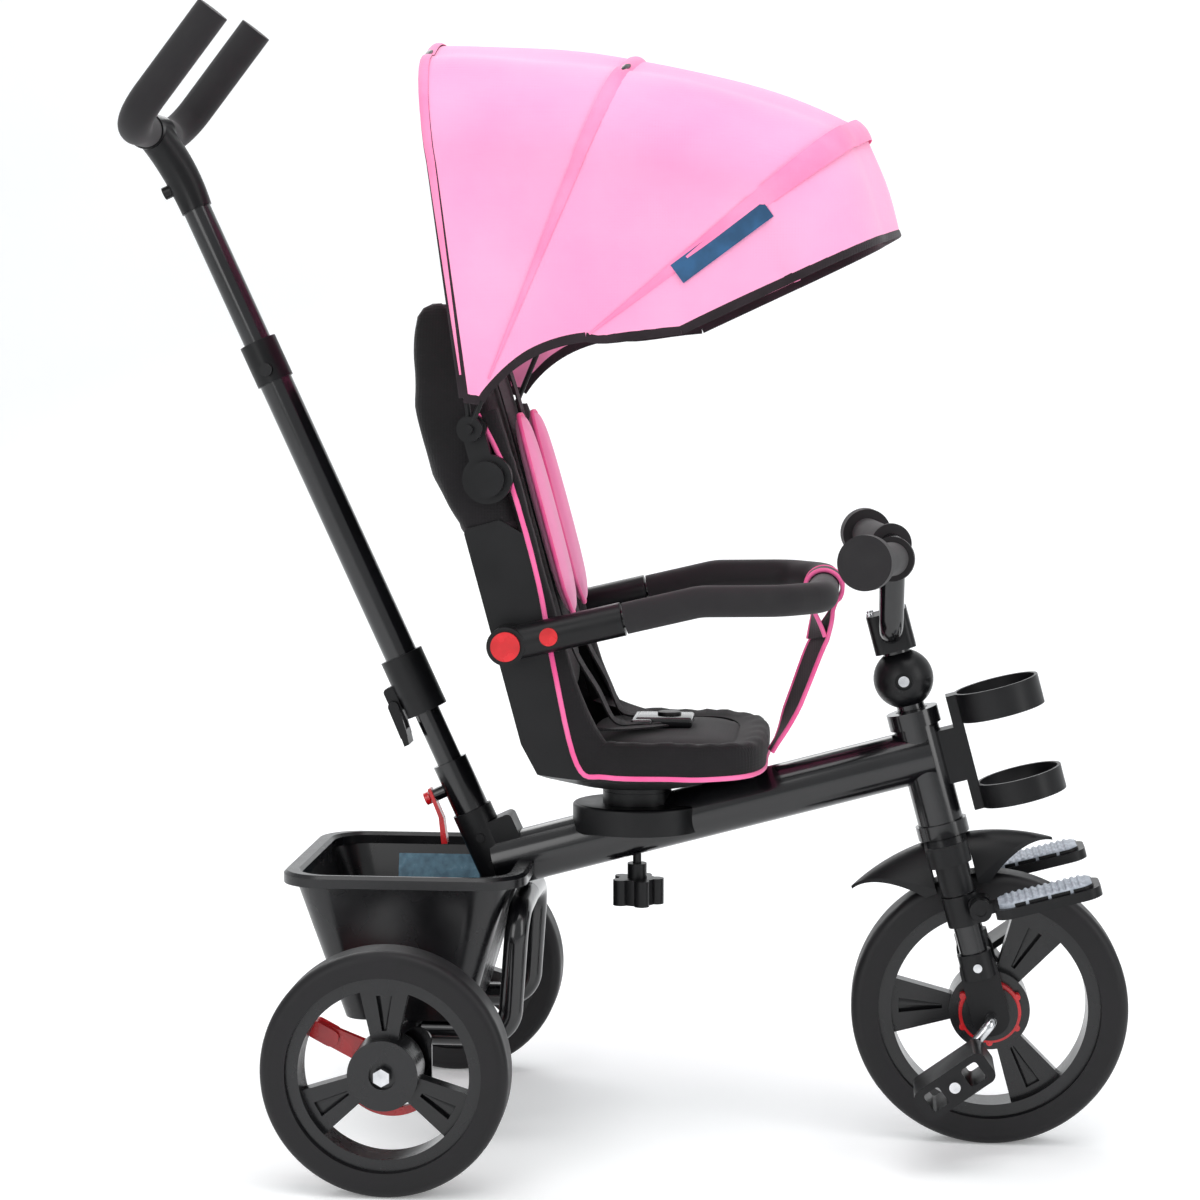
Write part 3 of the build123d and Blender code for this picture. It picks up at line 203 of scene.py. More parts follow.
def applyModifiers(piece):
    bpy.ops.object.select_all(action="DESELECT")
    piece.select_set(True)
    bpy.context.view_layer.objects.active = piece
    for modifier in list(piece.modifiers):
        bpy.ops.object.modifier_apply(modifier=modifier.name)


def faceOutwards(piece):
    bpy.ops.object.select_all(action="DESELECT")
    piece.select_set(True)
    bpy.context.view_layer.objects.active = piece
    bpy.ops.object.mode_set(mode="EDIT")
    bpy.ops.mesh.select_all(action="SELECT")
    bpy.ops.mesh.remove_doubles(threshold=0.00005)
    bpy.ops.mesh.normals_make_consistent(inside=False)
    bpy.ops.object.mode_set(mode="OBJECT")


def addSubdivision(piece, levels):
    smooth = piece.modifiers.new("smooth", "SUBSURF")
    smooth.levels = levels
    smooth.render_levels = levels


def smoothFaces(piece, degrees=40):
    bpy.ops.object.select_all(action="DESELECT")
    piece.select_set(True)
    bpy.context.view_layer.objects.active = piece
    bpy.ops.object.shade_smooth_by_angle(angle=math.radians(degrees))


def gridPiece(name, rows, material, closed=False):  # rows of points joined into one skin
    width = len(rows[0])
    vertices = [point for row in rows for point in row]
    faces = []
    for r in range(len(rows) - 1):
        for c in range(width if closed else width - 1):
            d = (c + 1) % width
            faces.append((r * width + c, r * width + d, (r + 1) * width + d, (r + 1) * width + c))
    return newPiece(name, vertices, faces, material)


def closeEnds(piece, rows):  # caps for a tube made by gridPiece
    width = len(rows[0])
    mesh = piece.data
    vertices = [v.co.copy() for v in mesh.vertices]
    faces = [tuple(f.vertices) for f in mesh.polygons]
    faces.append(tuple(reversed(range(width))))
    faces.append(tuple(range((len(rows) - 1) * width, len(rows) * width)))
    mesh.clear_geometry()
    mesh.from_pydata(vertices, [], faces)


def gridArea(rows):
    total = 0.0
    for r in range(len(rows) - 1):
        for c in range(len(rows[0]) - 1):
            a, b, d, e = rows[r][c], rows[r][c + 1], rows[r + 1][c + 1], rows[r + 1][c]
            total += ((b - a).cross(d - a)).length / 2 + ((d - a).cross(e - a)).length / 2
    return total


def lineLength(points):
    return sum((b - a).length for a, b in zip(points, points[1:]))


def thicken(piece, thickness):
    wall = piece.modifiers.new("thickness", "SOLIDIFY")
    wall.thickness = thickness
    wall.offset = 0
    applyModifiers(piece)


# carries a section of (sideways, outward) points along a path; across is the sideways direction at each point
def sweepSection(name, path, across, section, material, closed=False):
    rows = []
    count = len(path)
    for i, point in enumerate(path):
        ahead = path[(i + 1) % count] if closed or i + 1 < count else path[i]
        behind = path[i - 1] if closed or i > 0 else path[i]
        along = (ahead - behind).normalized()
        side = across[i] - along * across[i].dot(along)
        side.normalize()
        out = side.cross(along).normalized()
        rows.append([point + side * s + out * o for s, o in section])
    if closed:
        rows.append(rows[0])
    piece = gridPiece(name, rows, material, closed=True)
    if not closed:
        closeEnds(piece, rows)
    faceOutwards(piece)
    smoothFaces(piece, 50)
    return piece


def roundSection(half, high, count=12):
    return [(half * math.cos(2 * math.pi * k / count), high * math.sin(2 * math.pi * k / count))
            for k in range(count)]


# canopy: one cloth over three hoops and a brim
canopy = {"rear": -7.4, "middle": 22.7, "front": 52.1, "brim": 65.0, "low": 0.028, "frontLow": 0.131,
          "brimLow": 0.205, "lengths": {"rear": 0.346, "middle": 0.356, "front": 0.431, "brim": 0.412},
          "sideLow": 0.1545, "sideHigh": 0.1665, "corner": 0.085, "crown": 0.016, "sag": 0.009, "cloth": 0.0012,
          "bandHalf": {"rear": 0.0035, "middle": 0.0055, "front": 0.0105}, "bulge": 0.014,
          "tagFrom": 0.222, "tagTo": 0.322, "tagHalf": 0.0095}
canopyPivot = jointAt("canopy_fold_front")


def hoopOutline(low, length, count=64):  # (sideways, out from the pivot) round one hoop, from right to left
    corner, crown, side = canopy["corner"], canopy["crown"], canopy["sideHigh"]
    shoulder = length - crown - corner
    half = []
    sidePoints = count // 4
    for k in range(sidePoints):
        t = k / sidePoints
        r = low + (shoulder - low) * t
        half.append((-(canopy["sideLow"] + (side - canopy["sideLow"]) * (r - canopy["low"])
                       / (length - crown - canopy["low"])), r))
    arcPoints = count // 8
    for k in range(arcPoints + 1):
        a = math.pi / 2 * k / arcPoints
        half.append((-side + corner * (1 - math.cos(a)), shoulder + corner * math.sin(a)))
    topPoints = count // 2 - len(half)
    x0, y0 = half[-1]
    for k in range(1, topPoints + 1):
        t = k / topPoints
        half.append((x0 * (1 - t), y0 + crown * math.sin(t * math.pi / 2)))
    return half + [(-x, y) for x, y in reversed(half[:-1])]


def canopyPoint(angle, sideways, out):
    a = math.radians(angle)
    return canopyPivot + Vector((math.sin(a) * out, sideways, math.cos(a) * out))


def panelRows(start, end, startLow, endLow, steps, sag):
    rows = []
    a, b = canopy[start], canopy[end]
    for k in range(steps + 1):
        t = k / steps
        angle = a + (b - a) * t
        length = canopy["lengths"][start] * (1 - t) + canopy["lengths"][end] * t
        lowPoint = canopyPoint(a, 0, startLow) * (1 - t) + canopyPoint(b, 0, endLow) * t - canopyPivot
        low = lowPoint.length - (canopy["bulge"] * math.sin(math.pi * t) if end == "brim" else 0)
        dip = sag * math.sin(math.pi * t)
        row = []
        outline = hoopOutline(low, length)
        for i, (x, r) in enumerate(outline):
            u = i / (len(outline) - 1)
            pull = dip * min(1, (r - canopy["low"]) / 0.2)
            ripple = 0.0012 * math.sin(math.pi * t) * math.sin(9 * math.pi * u + 5 * t)
            squeeze = 1 - (pull + ripple) / canopy["sideHigh"] * 0.7
            row.append(canopyPoint(angle, x * squeeze, low + (r - low) * (1 - (pull + ripple) / length)))
        rows.append(row)
    return rows


def declareCloth(piece, rows):
    across = max(lineLength(row) for row in rows)
    along = max(lineLength([row[c] for row in rows]) for c in range(len(rows[0])))


def hoopBand(name, angle, low, length, half):  # the sewn pocket that holds a hoop, tapering to nothing
    outline = hoopOutline(low, length + 0.0006)
    a = math.radians(angle)
    forward = Vector((math.cos(a), 0, -math.sin(a)))
    rows = []
    for x, r in outline:
        share = (r - low) / (length - low)
        width = 0.0008 + half * min(1, share * 1.15)
        lift = 0.0024 * min(1, width / 0.006)
        point = canopyPoint(angle, x, r)
        out = (point - canopyPoint(angle, 0, min(r, length - canopy["corner"]))).normalized()
        rows.append([point + forward * width * s + out * (0.0009 + lift * (1 - s * s))
                     for s in (-1, -0.6, -0.2, 0.2, 0.6, 1)])
    band = gridPiece(name, rows, seamCloth)
    faceOutwards(band)
    thicken(band, 0.0006)
    smoothFaces(band, 60)
    return band


def edgeBinding(name, path, across, half=(0.0012, 0.0044)):
    return sweepSection(name, path, [across] * len(path), roundSection(*half), bindingTape)


def forwardAt(angle):  # square to a hoop, along the cloth
    a = math.radians(angle)
    return Vector((math.cos(a), 0, -math.sin(a)))


def makeCanopy():
    low, frontLow, brimLow = canopy["low"], canopy["frontLow"], canopy["brimLow"]
    rear = panelRows("rear", "middle", low, low, 14, canopy["sag"])
    front = panelRows("middle", "front", low, frontLow, 16, canopy["sag"])
    brim = panelRows("front", "brim", frontLow, brimLow, 8, 0.0)
    pieces = {}
    for name, rows in (("canopy_rear_cloth", rear), ("canopy_front_cloth", front), ("canopy_brim_cloth", brim)):
        piece = gridPiece(name, rows, canopyCloth)
        faceOutwards(piece)
        thicken(piece, canopy["cloth"])
        smoothFaces(piece, 60)
        pieces[name] = piece
    bands = {}
    for name in ("rear", "middle", "front"):
        start = low + 0.02 if name != "front" else frontLow + 0.004
        bands[name] = hoopBand("canopy_" + name + "_pocket", canopy[name], start, canopy["lengths"][name],
                               canopy["bandHalf"][name])
    sideways = Vector((0, 1, 0))
    flat = (0.0042, 0.0013)
    edges = {"rear": edgeBinding("canopy_rear_binding", rear[0], forwardAt(canopy["rear"]), flat)}
    for side, column in (("right", 0), ("left", -1)):
        edges["tip_" + side] = edgeBinding("canopy_tip_binding_" + side, [row[column] for row in rear], sideways)
        edges["lower_" + side] = edgeBinding("canopy_lower_binding_" + side, [row[column] for row in front], sideways)
        edges["brim_" + side] = edgeBinding("canopy_brim_side_binding_" + side, [row[column] for row in brim],
                                            sideways)
    edges["brim"] = edgeBinding("canopy_brim_binding", brim[-1], forwardAt(canopy["brim"]), flat)

    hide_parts("canopy_rear_panel")
    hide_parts("canopy_front_panel")
    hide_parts("canopy_front_rib")
    declareCloth(pieces["canopy_rear_cloth"], rear)
    declareCloth(pieces["canopy_front_cloth"], front)
    declareCloth(pieces["canopy_brim_cloth"], brim)

    reach = 0.25
    hinges = {name: canopyPoint(canopy[name], 0, reach) for name in ("rear", "middle", "front")}
    for piece in (pieces["canopy_rear_cloth"], edges["tip_right"], edges["tip_left"]):
        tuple(hinges["rear"])
        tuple(hinges["middle"])
        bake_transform(piece)
    for piece in (pieces["canopy_front_cloth"], edges["lower_right"], edges["lower_left"]):
        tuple(hinges["middle"])
        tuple(hinges["front"])
        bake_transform(piece)
    for piece in (bands["rear"], edges["rear"]):
        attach(piece, "canopy")
    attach(bands["middle"], "canopy_middle")
    for piece in (pieces["canopy_brim_cloth"], bands["front"], edges["brim"], edges["brim_right"],
                  edges["brim_left"]):
        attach(piece, "canopy_front")
    makeTag()


def makeTag():  # plain woven tag sewn along the front seam on the right side
    angle = canopy["front"] + 1.6
    outline = hoopOutline(canopy["frontLow"], canopy["lengths"]["front"] + 0.002, 160)
    path = [canopyPoint(angle, x, r) for x, r in outline if x < -0.05 and canopy["tagFrom"] < r < canopy["tagTo"]]
    a = math.radians(angle)
    forward = Vector((math.cos(a), 0, -math.sin(a)))
    half = canopy["tagHalf"]
    section = [(-half, 0.0004), (half, 0.0004), (half, 0.0020), (-half, 0.0020)]
    lift = [Vector((0, -0.0012, 0)) + p for p in path]
    tag = sweepSection("canopy_tag", lift, [forward] * len(lift), section, blueTape)
    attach(tag, "canopy_front")


makeCanopy()
print("canopy sewn")

# seat: padded liner, hood, harness and crotch strap
places = {"rearAxle": 192.5, "backX": 128, "backZ": 345, "backLean": 15}  # mm behind the middle, and the back's foot


def backPoint(n, u, y):  # the frame of the leaning back: n forward, u up along it
    c, s = math.cos(math.radians(places["backLean"])), math.sin(math.radians(places["backLean"]))
    return Vector((places["backX"] + n * c - u * s - places["rearAxle"], y, places["backZ"] + n * s + u * c)) / 1000


def seatPoint(x, y, z):  # mm forward of the rear axle, to the left and up
    return Vector((x - places["rearAxle"], y, z)) / 1000


# two skins meeting at a border; place(a, b, t) has a and b from -1 to 1 and t the share of thickness
def pillowPiece(name, place, stepsA, stepsB, material):
    vertices, faces, spots = [], [], []
    for sign in (1, -1):
        base = len(vertices)
        for i in range(stepsA + 1):
            for j in range(stepsB + 1):
                a, b = 2 * i / stepsA - 1, 2 * j / stepsB - 1
                t = sign * math.sqrt(max(0, (1 - abs(a) ** 5) * (1 - abs(b) ** 5)))
                squeezeA, squeezeB = 1 - 0.07 * abs(b) ** 6, 1 - 0.07 * abs(a) ** 6
                vertices.append(place(a * squeezeA, b * squeezeB, t))
                spots.append((a, b, sign))
        for i in range(stepsA):
            for j in range(stepsB):
                k = base + i * (stepsB + 1) + j
                quad = (k, k + 1, k + stepsB + 2, k + stepsB + 1)
                faces.append(quad if sign < 0 else tuple(reversed(quad)))
    piece = newPiece(name, vertices, faces, material)
    faceOutwards(piece)
    return piece


def inflate(piece, pressure, cap, stitched):  # fill the sewn case and let the cloth find its shape
    start = [v.co.copy() for v in piece.data.vertices]
    pins = piece.vertex_groups.new(name="stitches")
    pins.add([i for i, co in enumerate(start) if stitched(co)], 1.0, "REPLACE")
    cloth = piece.modifiers.new("filling", "CLOTH")
    cloth.settings.quality = 5
    cloth.settings.mass = 0.3
    cloth.settings.use_pressure = True
    cloth.settings.uniform_pressure_force = pressure
    cloth.settings.vertex_group_mass = "stitches"
    cloth.settings.effector_weights.gravity = 0
    cloth.point_cache.frame_start = 1
    cloth.point_cache.frame_end = 20
    for step in range(1, 21):
        bpy.context.scene.frame_set(step)
    applyModifiers(piece)
    bpy.context.scene.frame_set(1)
    for vertex, co in zip(piece.data.vertices, start):
        moved = vertex.co - co
        if moved.length > cap:
            vertex.co = co + moved * (cap / moved.length)
    addSubdivision(piece, 1)
    applyModifiers(piece)
    smoothFaces(piece, 70)


def smoothPath(points, steps=8):  # Catmull-Rom curve through the points
    path = []
    ends = [points[0]] + list(points) + [points[-1]]
    for i in range(1, len(ends) - 2):
        p0, p1, p2, p3 = ends[i - 1], ends[i], ends[i + 1], ends[i + 2]
        for k in range(steps):
            t = k / steps
            path.append(0.5 * ((2 * p1) + (p2 - p0) * t + (2 * p0 - 5 * p1 + 4 * p2 - p3) * t * t
                               + (3 * p1 - p0 - 3 * p2 + p3) * t * t * t))
    path.append(points[-1])
    return path


liner = {"backHalf": 99, "backLow": 58, "backHigh": 416, "backMid": 22.5, "backThick": 20.5, "seatHalf": 106,
         "seatRear": 153, "seatFront": 310, "seatMid": 364, "seatThick": 20, "stitchAcross": 60, "piping": 2.4}


def makeCushions():
    def placeBack(a, b, t):
        u = (liner["backLow"] + liner["backHigh"]) / 2 + b * (liner["backHigh"] - liner["backLow"]) / 2
        y = a * liner["backHalf"]
        wing = 1.5 * abs(a) ** 3
        return backPoint(liner["backMid"] + t * liner["backThick"] + wing, u, y)

    def placeSeat(a, b, t):
        x = (liner["seatRear"] + liner["seatFront"]) / 2 + b * (liner["seatFront"] - liner["seatRear"]) / 2
        narrowing = 1 - 0.16 * max(0, b) ** 3
        droop = -5 * max(0, b) ** 4 + 4 * max(0, -b) ** 2 + 2.5 * abs(a) ** 4
        return seatPoint(x, a * liner["seatHalf"] * narrowing, liner["seatMid"] + t * liner["seatThick"] + droop)

    back = pillowPiece("back_cushion_filled", placeBack, 30, 54, blackCloth)
    seat = pillowPiece("seat_cushion_filled", placeSeat, 32, 24, blackCloth)

    def onBackStitch(co):
        x, z = co.x * 1000 + places["rearAxle"] - places["backX"], co.z * 1000 - places["backZ"]
        c, s = math.cos(math.radians(places["backLean"])), math.sin(math.radians(places["backLean"]))
        n, u = x * c + z * s, -x * s + z * c
        y = abs(co.y * 1000)
        seam = abs(y - liner["stitchAcross"]) < 3.4 or abs(u - 232) < 3.4 or abs(u - 340) < 3.4
        return n < 14 or y > 96 or seam

    def onSeatStitch(co):
        x, y, z = co.x * 1000 + places["rearAxle"], abs(co.y * 1000), co.z * 1000
        seam = abs(y - liner["stitchAcross"]) < 3.4 or abs(x - 228) < 3.2
        return z < 356 or y > 103 or seam

    inflate(back, 3.0, 0.005, onBackStitch)
    inflate(seat, 3.0, 0.005, onSeatStitch)
    for piece, node in ((back, "back_cushion"), (seat, "seat_cushion")):
        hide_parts(node)
        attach(piece, "seat")


wrapStations = [  # from the right rosette down the back's edge and forward to the middle of the seat front
    (backPoint(40, 335, -97), backPoint(46, 335, -108), backPoint(43, 335, -119), backPoint(30, 335, -122.5)),
    (backPoint(43, 300, -96), backPoint(48, 300, -108), backPoint(47, 300, -120), backPoint(38, 300, -123)),
    (backPoint(43, 263, -96), backPoint(49, 263, -108), backPoint(49, 263, -120), backPoint(43, 263, -123)),
    (backPoint(43, 178, -96), backPoint(49, 178, -108), backPoint(49, 178, -120), backPoint(43.5, 178, -123)),
    (backPoint(44, 101, -97), backPoint(50, 101, -108), backPoint(49, 101, -120), backPoint(37, 101, -123)),
    (seatPoint(180, -96, 384), seatPoint(176, -113, 392), seatPoint(170, -121.5, 386), seatPoint(158, -123, 366)),
    (seatPoint(196, -96, 381), seatPoint(194, -114, 385), seatPoint(190, -121.5, 378), seatPoint(184, -123, 355)),
    (seatPoint(240, -96, 380), seatPoint(240, -114, 384), seatPoint(240, -121.5, 377), seatPoint(240, -123, 354)),
    (seatPoint(270, -94, 380), seatPoint(270, -113, 384), seatPoint(270, -121.5, 377), seatPoint(270, -123, 354)),
    (seatPoint(286, -84, 379), seatPoint(301, -100, 383), seatPoint(306, -106, 376), seatPoint(306, -107, 355)),
    (seatPoint(295, -56, 378), seatPoint(314, -62, 382), seatPoint(321.5, -64, 375), seatPoint(321, -64, 355)),
    (seatPoint(296, 0, 378), seatPoint(315, 0, 382), seatPoint(322, 0, 375), seatPoint(321.5, 0, 356))]


def makeWrap():  # the liner's edge, turned over the rim of the shell, with a round cord along its hem
    lines = []
    for k in range(4):
        right = [station[k] for station in wrapStations]
        left = [Vector((p.x, -p.y, p.z)) for p in reversed(right[:-1])]
        lines.append(smoothPath(right + left, 6))
    rows = []
    for i in range(len(lines[0])):
        bend = smoothPath([line[i] for line in lines], 4)
        pucker = 0.0007 * math.sin(1.7 * i) + 0.0005 * math.sin(0.61 * i + 1)
        rows.append([p + Vector((0, math.copysign(pucker, p.y) if 2 < j < 11 else 0, pucker if 2 < j < 9 else 0))
                     for j, p in enumerate(bend)])
    wrap = gridPiece("liner_wrap", rows, blackCloth)
    faceOutwards(wrap)
    thicken(wrap, 0.0014)
    smoothFaces(wrap, 60)
    radius = liner["piping"] / 1000
    path = [row[-1] for row in rows]
    cord = sweepSection("liner_piping", path, [Vector((0.3, 1, 0.2))] * len(path), roundSection(radius, radius, 10),
                        padCloth)
    along = lineLength([row[6] for row in rows])
    across = max(lineLength(row) for row in rows)
    for part, name in ((wrap, "black_fabric"), (cord, "pink_fabric")):
        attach(part, "seat")


# hood over the top of the back
hood = {"outline": ((239, -13.5, 42, 118), (262, -21, 42.5, 120), (292, -28, 43, 120.5), (325, -28, 43, 120),
                    (358, -26, 42.5, 119), (392, -18, 39, 115), (418, -11, 34, 110), (432, -5, 29, 105),
                    (438, 2, 23, 99)), "wrinkle": 1.6, "cloth": 1.3}


def makeHood():
    def between(u):
        table = hood["outline"]
        for low, high in zip(table, table[1:]):
            if u <= high[0]:
                t = (u - low[0]) / (high[0] - low[0])
                return [a + (b - a) * t for a, b in zip(low, high)]
        return list(table[-1])

    rows = []
    steps, around = 34, 72
    for r in range(steps + 1):
        row = []
        for k in range(around + 1):
            v = 2 * k / around - 1
            share = r / steps
            u = 239 + (438 - 239) * share + 7 * (1 - share) ** 3 * math.cos(math.pi * v)
            _, rear, front, half = between(max(239, u))
            angle = math.pi * 0.5 * v * 1.32
            power = 0.34
            ca, sa = math.cos(angle), math.sin(angle)
            middle = rear + (front - rear) * 0.46
            n = middle - math.copysign(abs(ca) ** power, ca) * (middle - rear if ca > 0 else front - middle)
            y = math.copysign(abs(sa) ** power, sa) * half
            fold = hood["wrinkle"] * math.sin(7.3 * v + 2.1 * math.sin(5 * share + v)) * math.sin(11 * share + 3 * v)
            fold *= min(1, share * 6) * min(1, (1 - share) * 5)
            grow = 1 + fold / half
            row.append(backPoint(middle + (n - middle) * grow - max(0, fold) * max(0, ca), u, y * (1 + fold / 160)))
        rows.append(row)
    centre = backPoint(12, 440, 0)
    for share in (0.2, 0.5, 1.0):
        top = []
        for p in rows[steps]:
            flat = Vector((p.x + (centre.x - p.x) * share, p.y * (1 - 0.12 * share), p.z + (centre.z - p.z) * share))
            top.append(flat)
        rows.append(top)
    piece = gridPiece("rear_cover_cloth", rows, blackCloth)
    faceOutwards(piece)
    thicken(piece, hood["cloth"] / 1000)
    smoothFaces(piece, 60)
    hem = sweepSection("rear_cover_hem", [p.copy() for p in rows[0]], [backPoint(0, 1, 0) - backPoint(0, 0, 0)]
                       * len(rows[0]), roundSection(0.0045, 0.0016), bindingTape)
    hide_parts("rear_cover")
    across = lineLength(rows[0])
    along = lineLength([row[len(row) // 2] for row in rows])
    share = max(0.3, min(1.0, gridArea(rows) / (across * along)))
    for part in (piece, hem):
        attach(part, "seat")


# harness: webbing, shoulder pads and buckle
harness = {"side": 52, "webHalf": 12, "webThick": 0.8, "padHalf": 25, "padLow": 138, "padHigh": 326,
           "buckle": (228, 386)}


def webbing(name, points, across, half, material):
    path = smoothPath(points, 8)
    t = harness["webThick"] / 1000
    h = half / 1000
    section = [(-h, -t), (-h * 0.5, -t), (h * 0.5, -t), (h, -t), (h, t), (h * 0.5, t), (-h * 0.5, t), (-h, t)]
    return sweepSection(name, path, [across] * len(path), section, material)


def makeHarness():
    parts = []
    for side, sign in (("right", -1), ("left", 1)):
        y = sign * harness["side"]
        inner = sign * 16
        drop = [backPoint(44.5, 392, y), backPoint(47, 340, y), backPoint(48, 240, y), backPoint(48.5, 150, y),
                backPoint(50, 105, y * 0.98), backPoint(60, 66, y * 0.86), seatPoint(184, y * 0.7, 395),
                seatPoint(206, inner * 1.5, 390.5), seatPoint(222, inner, 390)]
        strap = webbing("harness_shoulder_" + side, drop, Vector((0, 1, 0)), harness["webHalf"], blackWebbing)
        hip = [seatPoint(158, sign * 101, 396), seatPoint(178, sign * 84, 392), seatPoint(204, sign * 52, 389.5),
               seatPoint(226, sign * 26, 389)]
        lap = webbing("harness_lap_" + side, hip, Vector((1, 0, 0)), harness["webHalf"] * 0.8, blackWebbing)

        def place(a, b, t, y=y):
            low, high = harness["padLow"], harness["padHigh"]
            u = (low + high) / 2 + b * (high - low) / 2
            taper = 1 - 0.75 * max(0, -b - 0.72) / 0.28 - 0.12 * max(0, b)
            return backPoint(57.5 + 8 * t, u, y + a * harness["padHalf"] * taper)

        pad = pillowPiece("harness_pad_" + side, place, 12, 40, canopyCloth)
        inflate(pad, 1.5, 0.0015, lambda co: False)
        edge = []
        for k in range(81):
            w = 2 * math.pi * k / 80
            a, b = math.cos(w), math.sin(w)
            a, b = math.copysign(abs(a) ** 0.35, a), math.copysign(abs(b) ** 0.35, b)
            edge.append(place(a * 0.99, b * 0.99, 0))
        cord = sweepSection("harness_pad_piping_" + side, edge[:-1], [backPoint(1, 0, 0) - backPoint(0, 0, 0)] * 80,
                            roundSection(0.0021, 0.0021, 8), padCloth, closed=True)
        parts += [strap, lap, pad, cord]
    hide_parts("harness")
    for part in parts:
        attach(part, "seat")
    makeBuckle()


def makeBuckle():  # three-way buckle with a round button
    x, z = harness["buckle"]
    made = []
    for name, size, at in (("harness_buckle", (52, 44, 10), (0, 0, 0)), ("harness_buckle_tongue", (20, 62, 6),
                                                                         (-20, 0, 0.5))):
        bpy.ops.mesh.primitive_cube_add(size=1)
        body = bpy.context.active_object
        body.name = name
        body.data.transform(Matrix.Translation(seatPoint(x + at[0], at[1], z + 4 + at[2]))
                            @ Matrix.Diagonal((size[0] / 1000, size[1] / 1000, size[2] / 1000, 1)))
        rounding = body.modifiers.new("edges", "BEVEL")
        rounding.width = 0.0028
        rounding.segments = 4
        applyModifiers(body)
        made.append(body)
    bpy.ops.mesh.primitive_cylinder_add(vertices=40, radius=0.011, depth=0.004)
    button = bpy.context.active_object
    button.name = "harness_button"
    button.data.transform(Matrix.Translation(seatPoint(x + 4, 0, z + 10)))
    rounding = button.modifiers.new("edges", "BEVEL")
    rounding.width = 0.0012
    rounding.segments = 3
    applyModifiers(button)
    made.append(button)
    for part in made:
        part.data.materials.clear()
        part.data.materials.append(powderCoat if part is not button else satinPolypropylene)
        smoothFaces(part, 35)
        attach(part, "seat")


# crotch strap: from the seat front up and round the middle of the bar
crotch = {"bar": (374, 515), "reach": 17.0, "half": 17, "thick": 1.2, "cord": 2.1, "twist": 32}


def makeCrotchStrap():
    bx, bz = crotch["bar"]
    reach = crotch["reach"]
    ring = [seatPoint(bx + reach * math.cos(math.radians(d)), 0, bz + reach * math.sin(math.radians(d)))
            for d in range(-50, 231, 20)]
    points = [seatPoint(326, 0, 362), seatPoint(338, 0, 384), seatPoint(352, 0, 420), seatPoint(366, 0, 458),
              seatPoint(379, 0, 486)] + ring + [seatPoint(366, 0, 486), seatPoint(367.5, 0, 468)]
    path = smoothPath(points, 5)
    half, thick = crotch["half"] / 1000, crotch["thick"] / 1000
    widths = []
    for p in path:
        up = (p.z * 1000 - 362) / 120
        widths.append(half * (0.72 + 0.28 * max(0, min(1, up))))
    across = []
    for p in path:  # the free length hangs half turned
        free = max(0, min(1, (495 - p.z * 1000) / 30)) * max(0.25, min(1, (p.z * 1000 - 362) / 40))
        turn = math.radians(crotch["twist"]) * free
        across.append(Vector((-math.sin(turn), math.cos(turn), -0.35 * math.sin(turn))))
    rows = []
    for p, w, side in zip(path, widths, across):
        rows.append([p + side * w * s for s in (-1, -0.6, -0.2, 0.2, 0.6, 1)])
    strap = gridPiece("crotch_strap_webbing", rows, bindingTape)
    faceOutwards(strap)
    thicken(strap, thick * 2)
    smoothFaces(strap, 60)
    cords = []
    radius = crotch["cord"] / 1000
    for side, sign in (("right", -1), ("left", 1)):
        edge = [p + turn * w * sign for p, w, turn in zip(path, widths, across)]
        cords.append(sweepSection("crotch_strap_piping_" + side, edge, across,
                                  roundSection(radius, radius, 10), padCloth))
    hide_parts("crotch_strap")
    for part in [strap] + cords:
        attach(part, "safety_bar")


makeCushions()
print("cushions filled")
makeWrap()
makeHood()
makeHarness()
makeCrotchStrap()
print("seat dressed")

# footrest pads and basket sticker
footPad = {"frame": (529, 127), "lean": 15, "up": 103, "start": 33, "long": 84, "inner": 67, "outer": 113.5,
           "top": 7.9, "ribs": 14, "ribHigh": 1.5, "corner": 0.16}


def headPoint(b, a, y):  # the leaning head tube's frame: b forward, a up along it
    c, s = math.cos(math.radians(footPad["lean"])), math.sin(math.radians(footPad["lean"]))
    x0, z0 = footPad["frame"]
    return Vector((x0 + b * c - a * s - places["rearAxle"], y, z0 + b * s + a * c)) / 1000


def makeFootPads():
    for name, sign in (("left", 1), ("right", -1)):
        rows = []
        steps = footPad["ribs"] * 4
        for k in range(steps + 1):
            share = k / steps
            b = footPad["start"] + footPad["long"] * share
            rib = footPad["ribHigh"] if k % 4 in (1, 2) else 0
            ease = min(1, 8 * min(share, 1 - share))
            narrow = footPad["corner"] * (1 - ease) ** 2 * (footPad["outer"] - footPad["inner"])
            inner, outer = footPad["inner"] + narrow, footPad["outer"] - narrow
            a = footPad["up"] + footPad["top"]
            row = [headPoint(b, a - 3.5, sign * inner), headPoint(b, a + 0.3, sign * inner)]
            row += [headPoint(b, a + rib * ease + 0.5, sign * (inner + (outer - inner) * w))
                    for w in (0.03, 0.2, 0.4, 0.6, 0.8, 0.97)]
            row += [headPoint(b, a + 0.3, sign * outer), headPoint(b, a - 3.5, sign * outer)]
            rows.append(row)
        pad = gridPiece("footrest_pad_" + name, rows, greyRubber, closed=True)
        closeEnds(pad, rows)
        faceOutwards(pad)
        smoothFaces(pad, 30)
        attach(pad, "footrest_" + name)


sticker = {"wall": (82.0, 109.0), "low": 0.5, "high": 0.93, "from": -40, "to": 40, "gap": 0.7, "floor": 124,
           "mouth": 249}


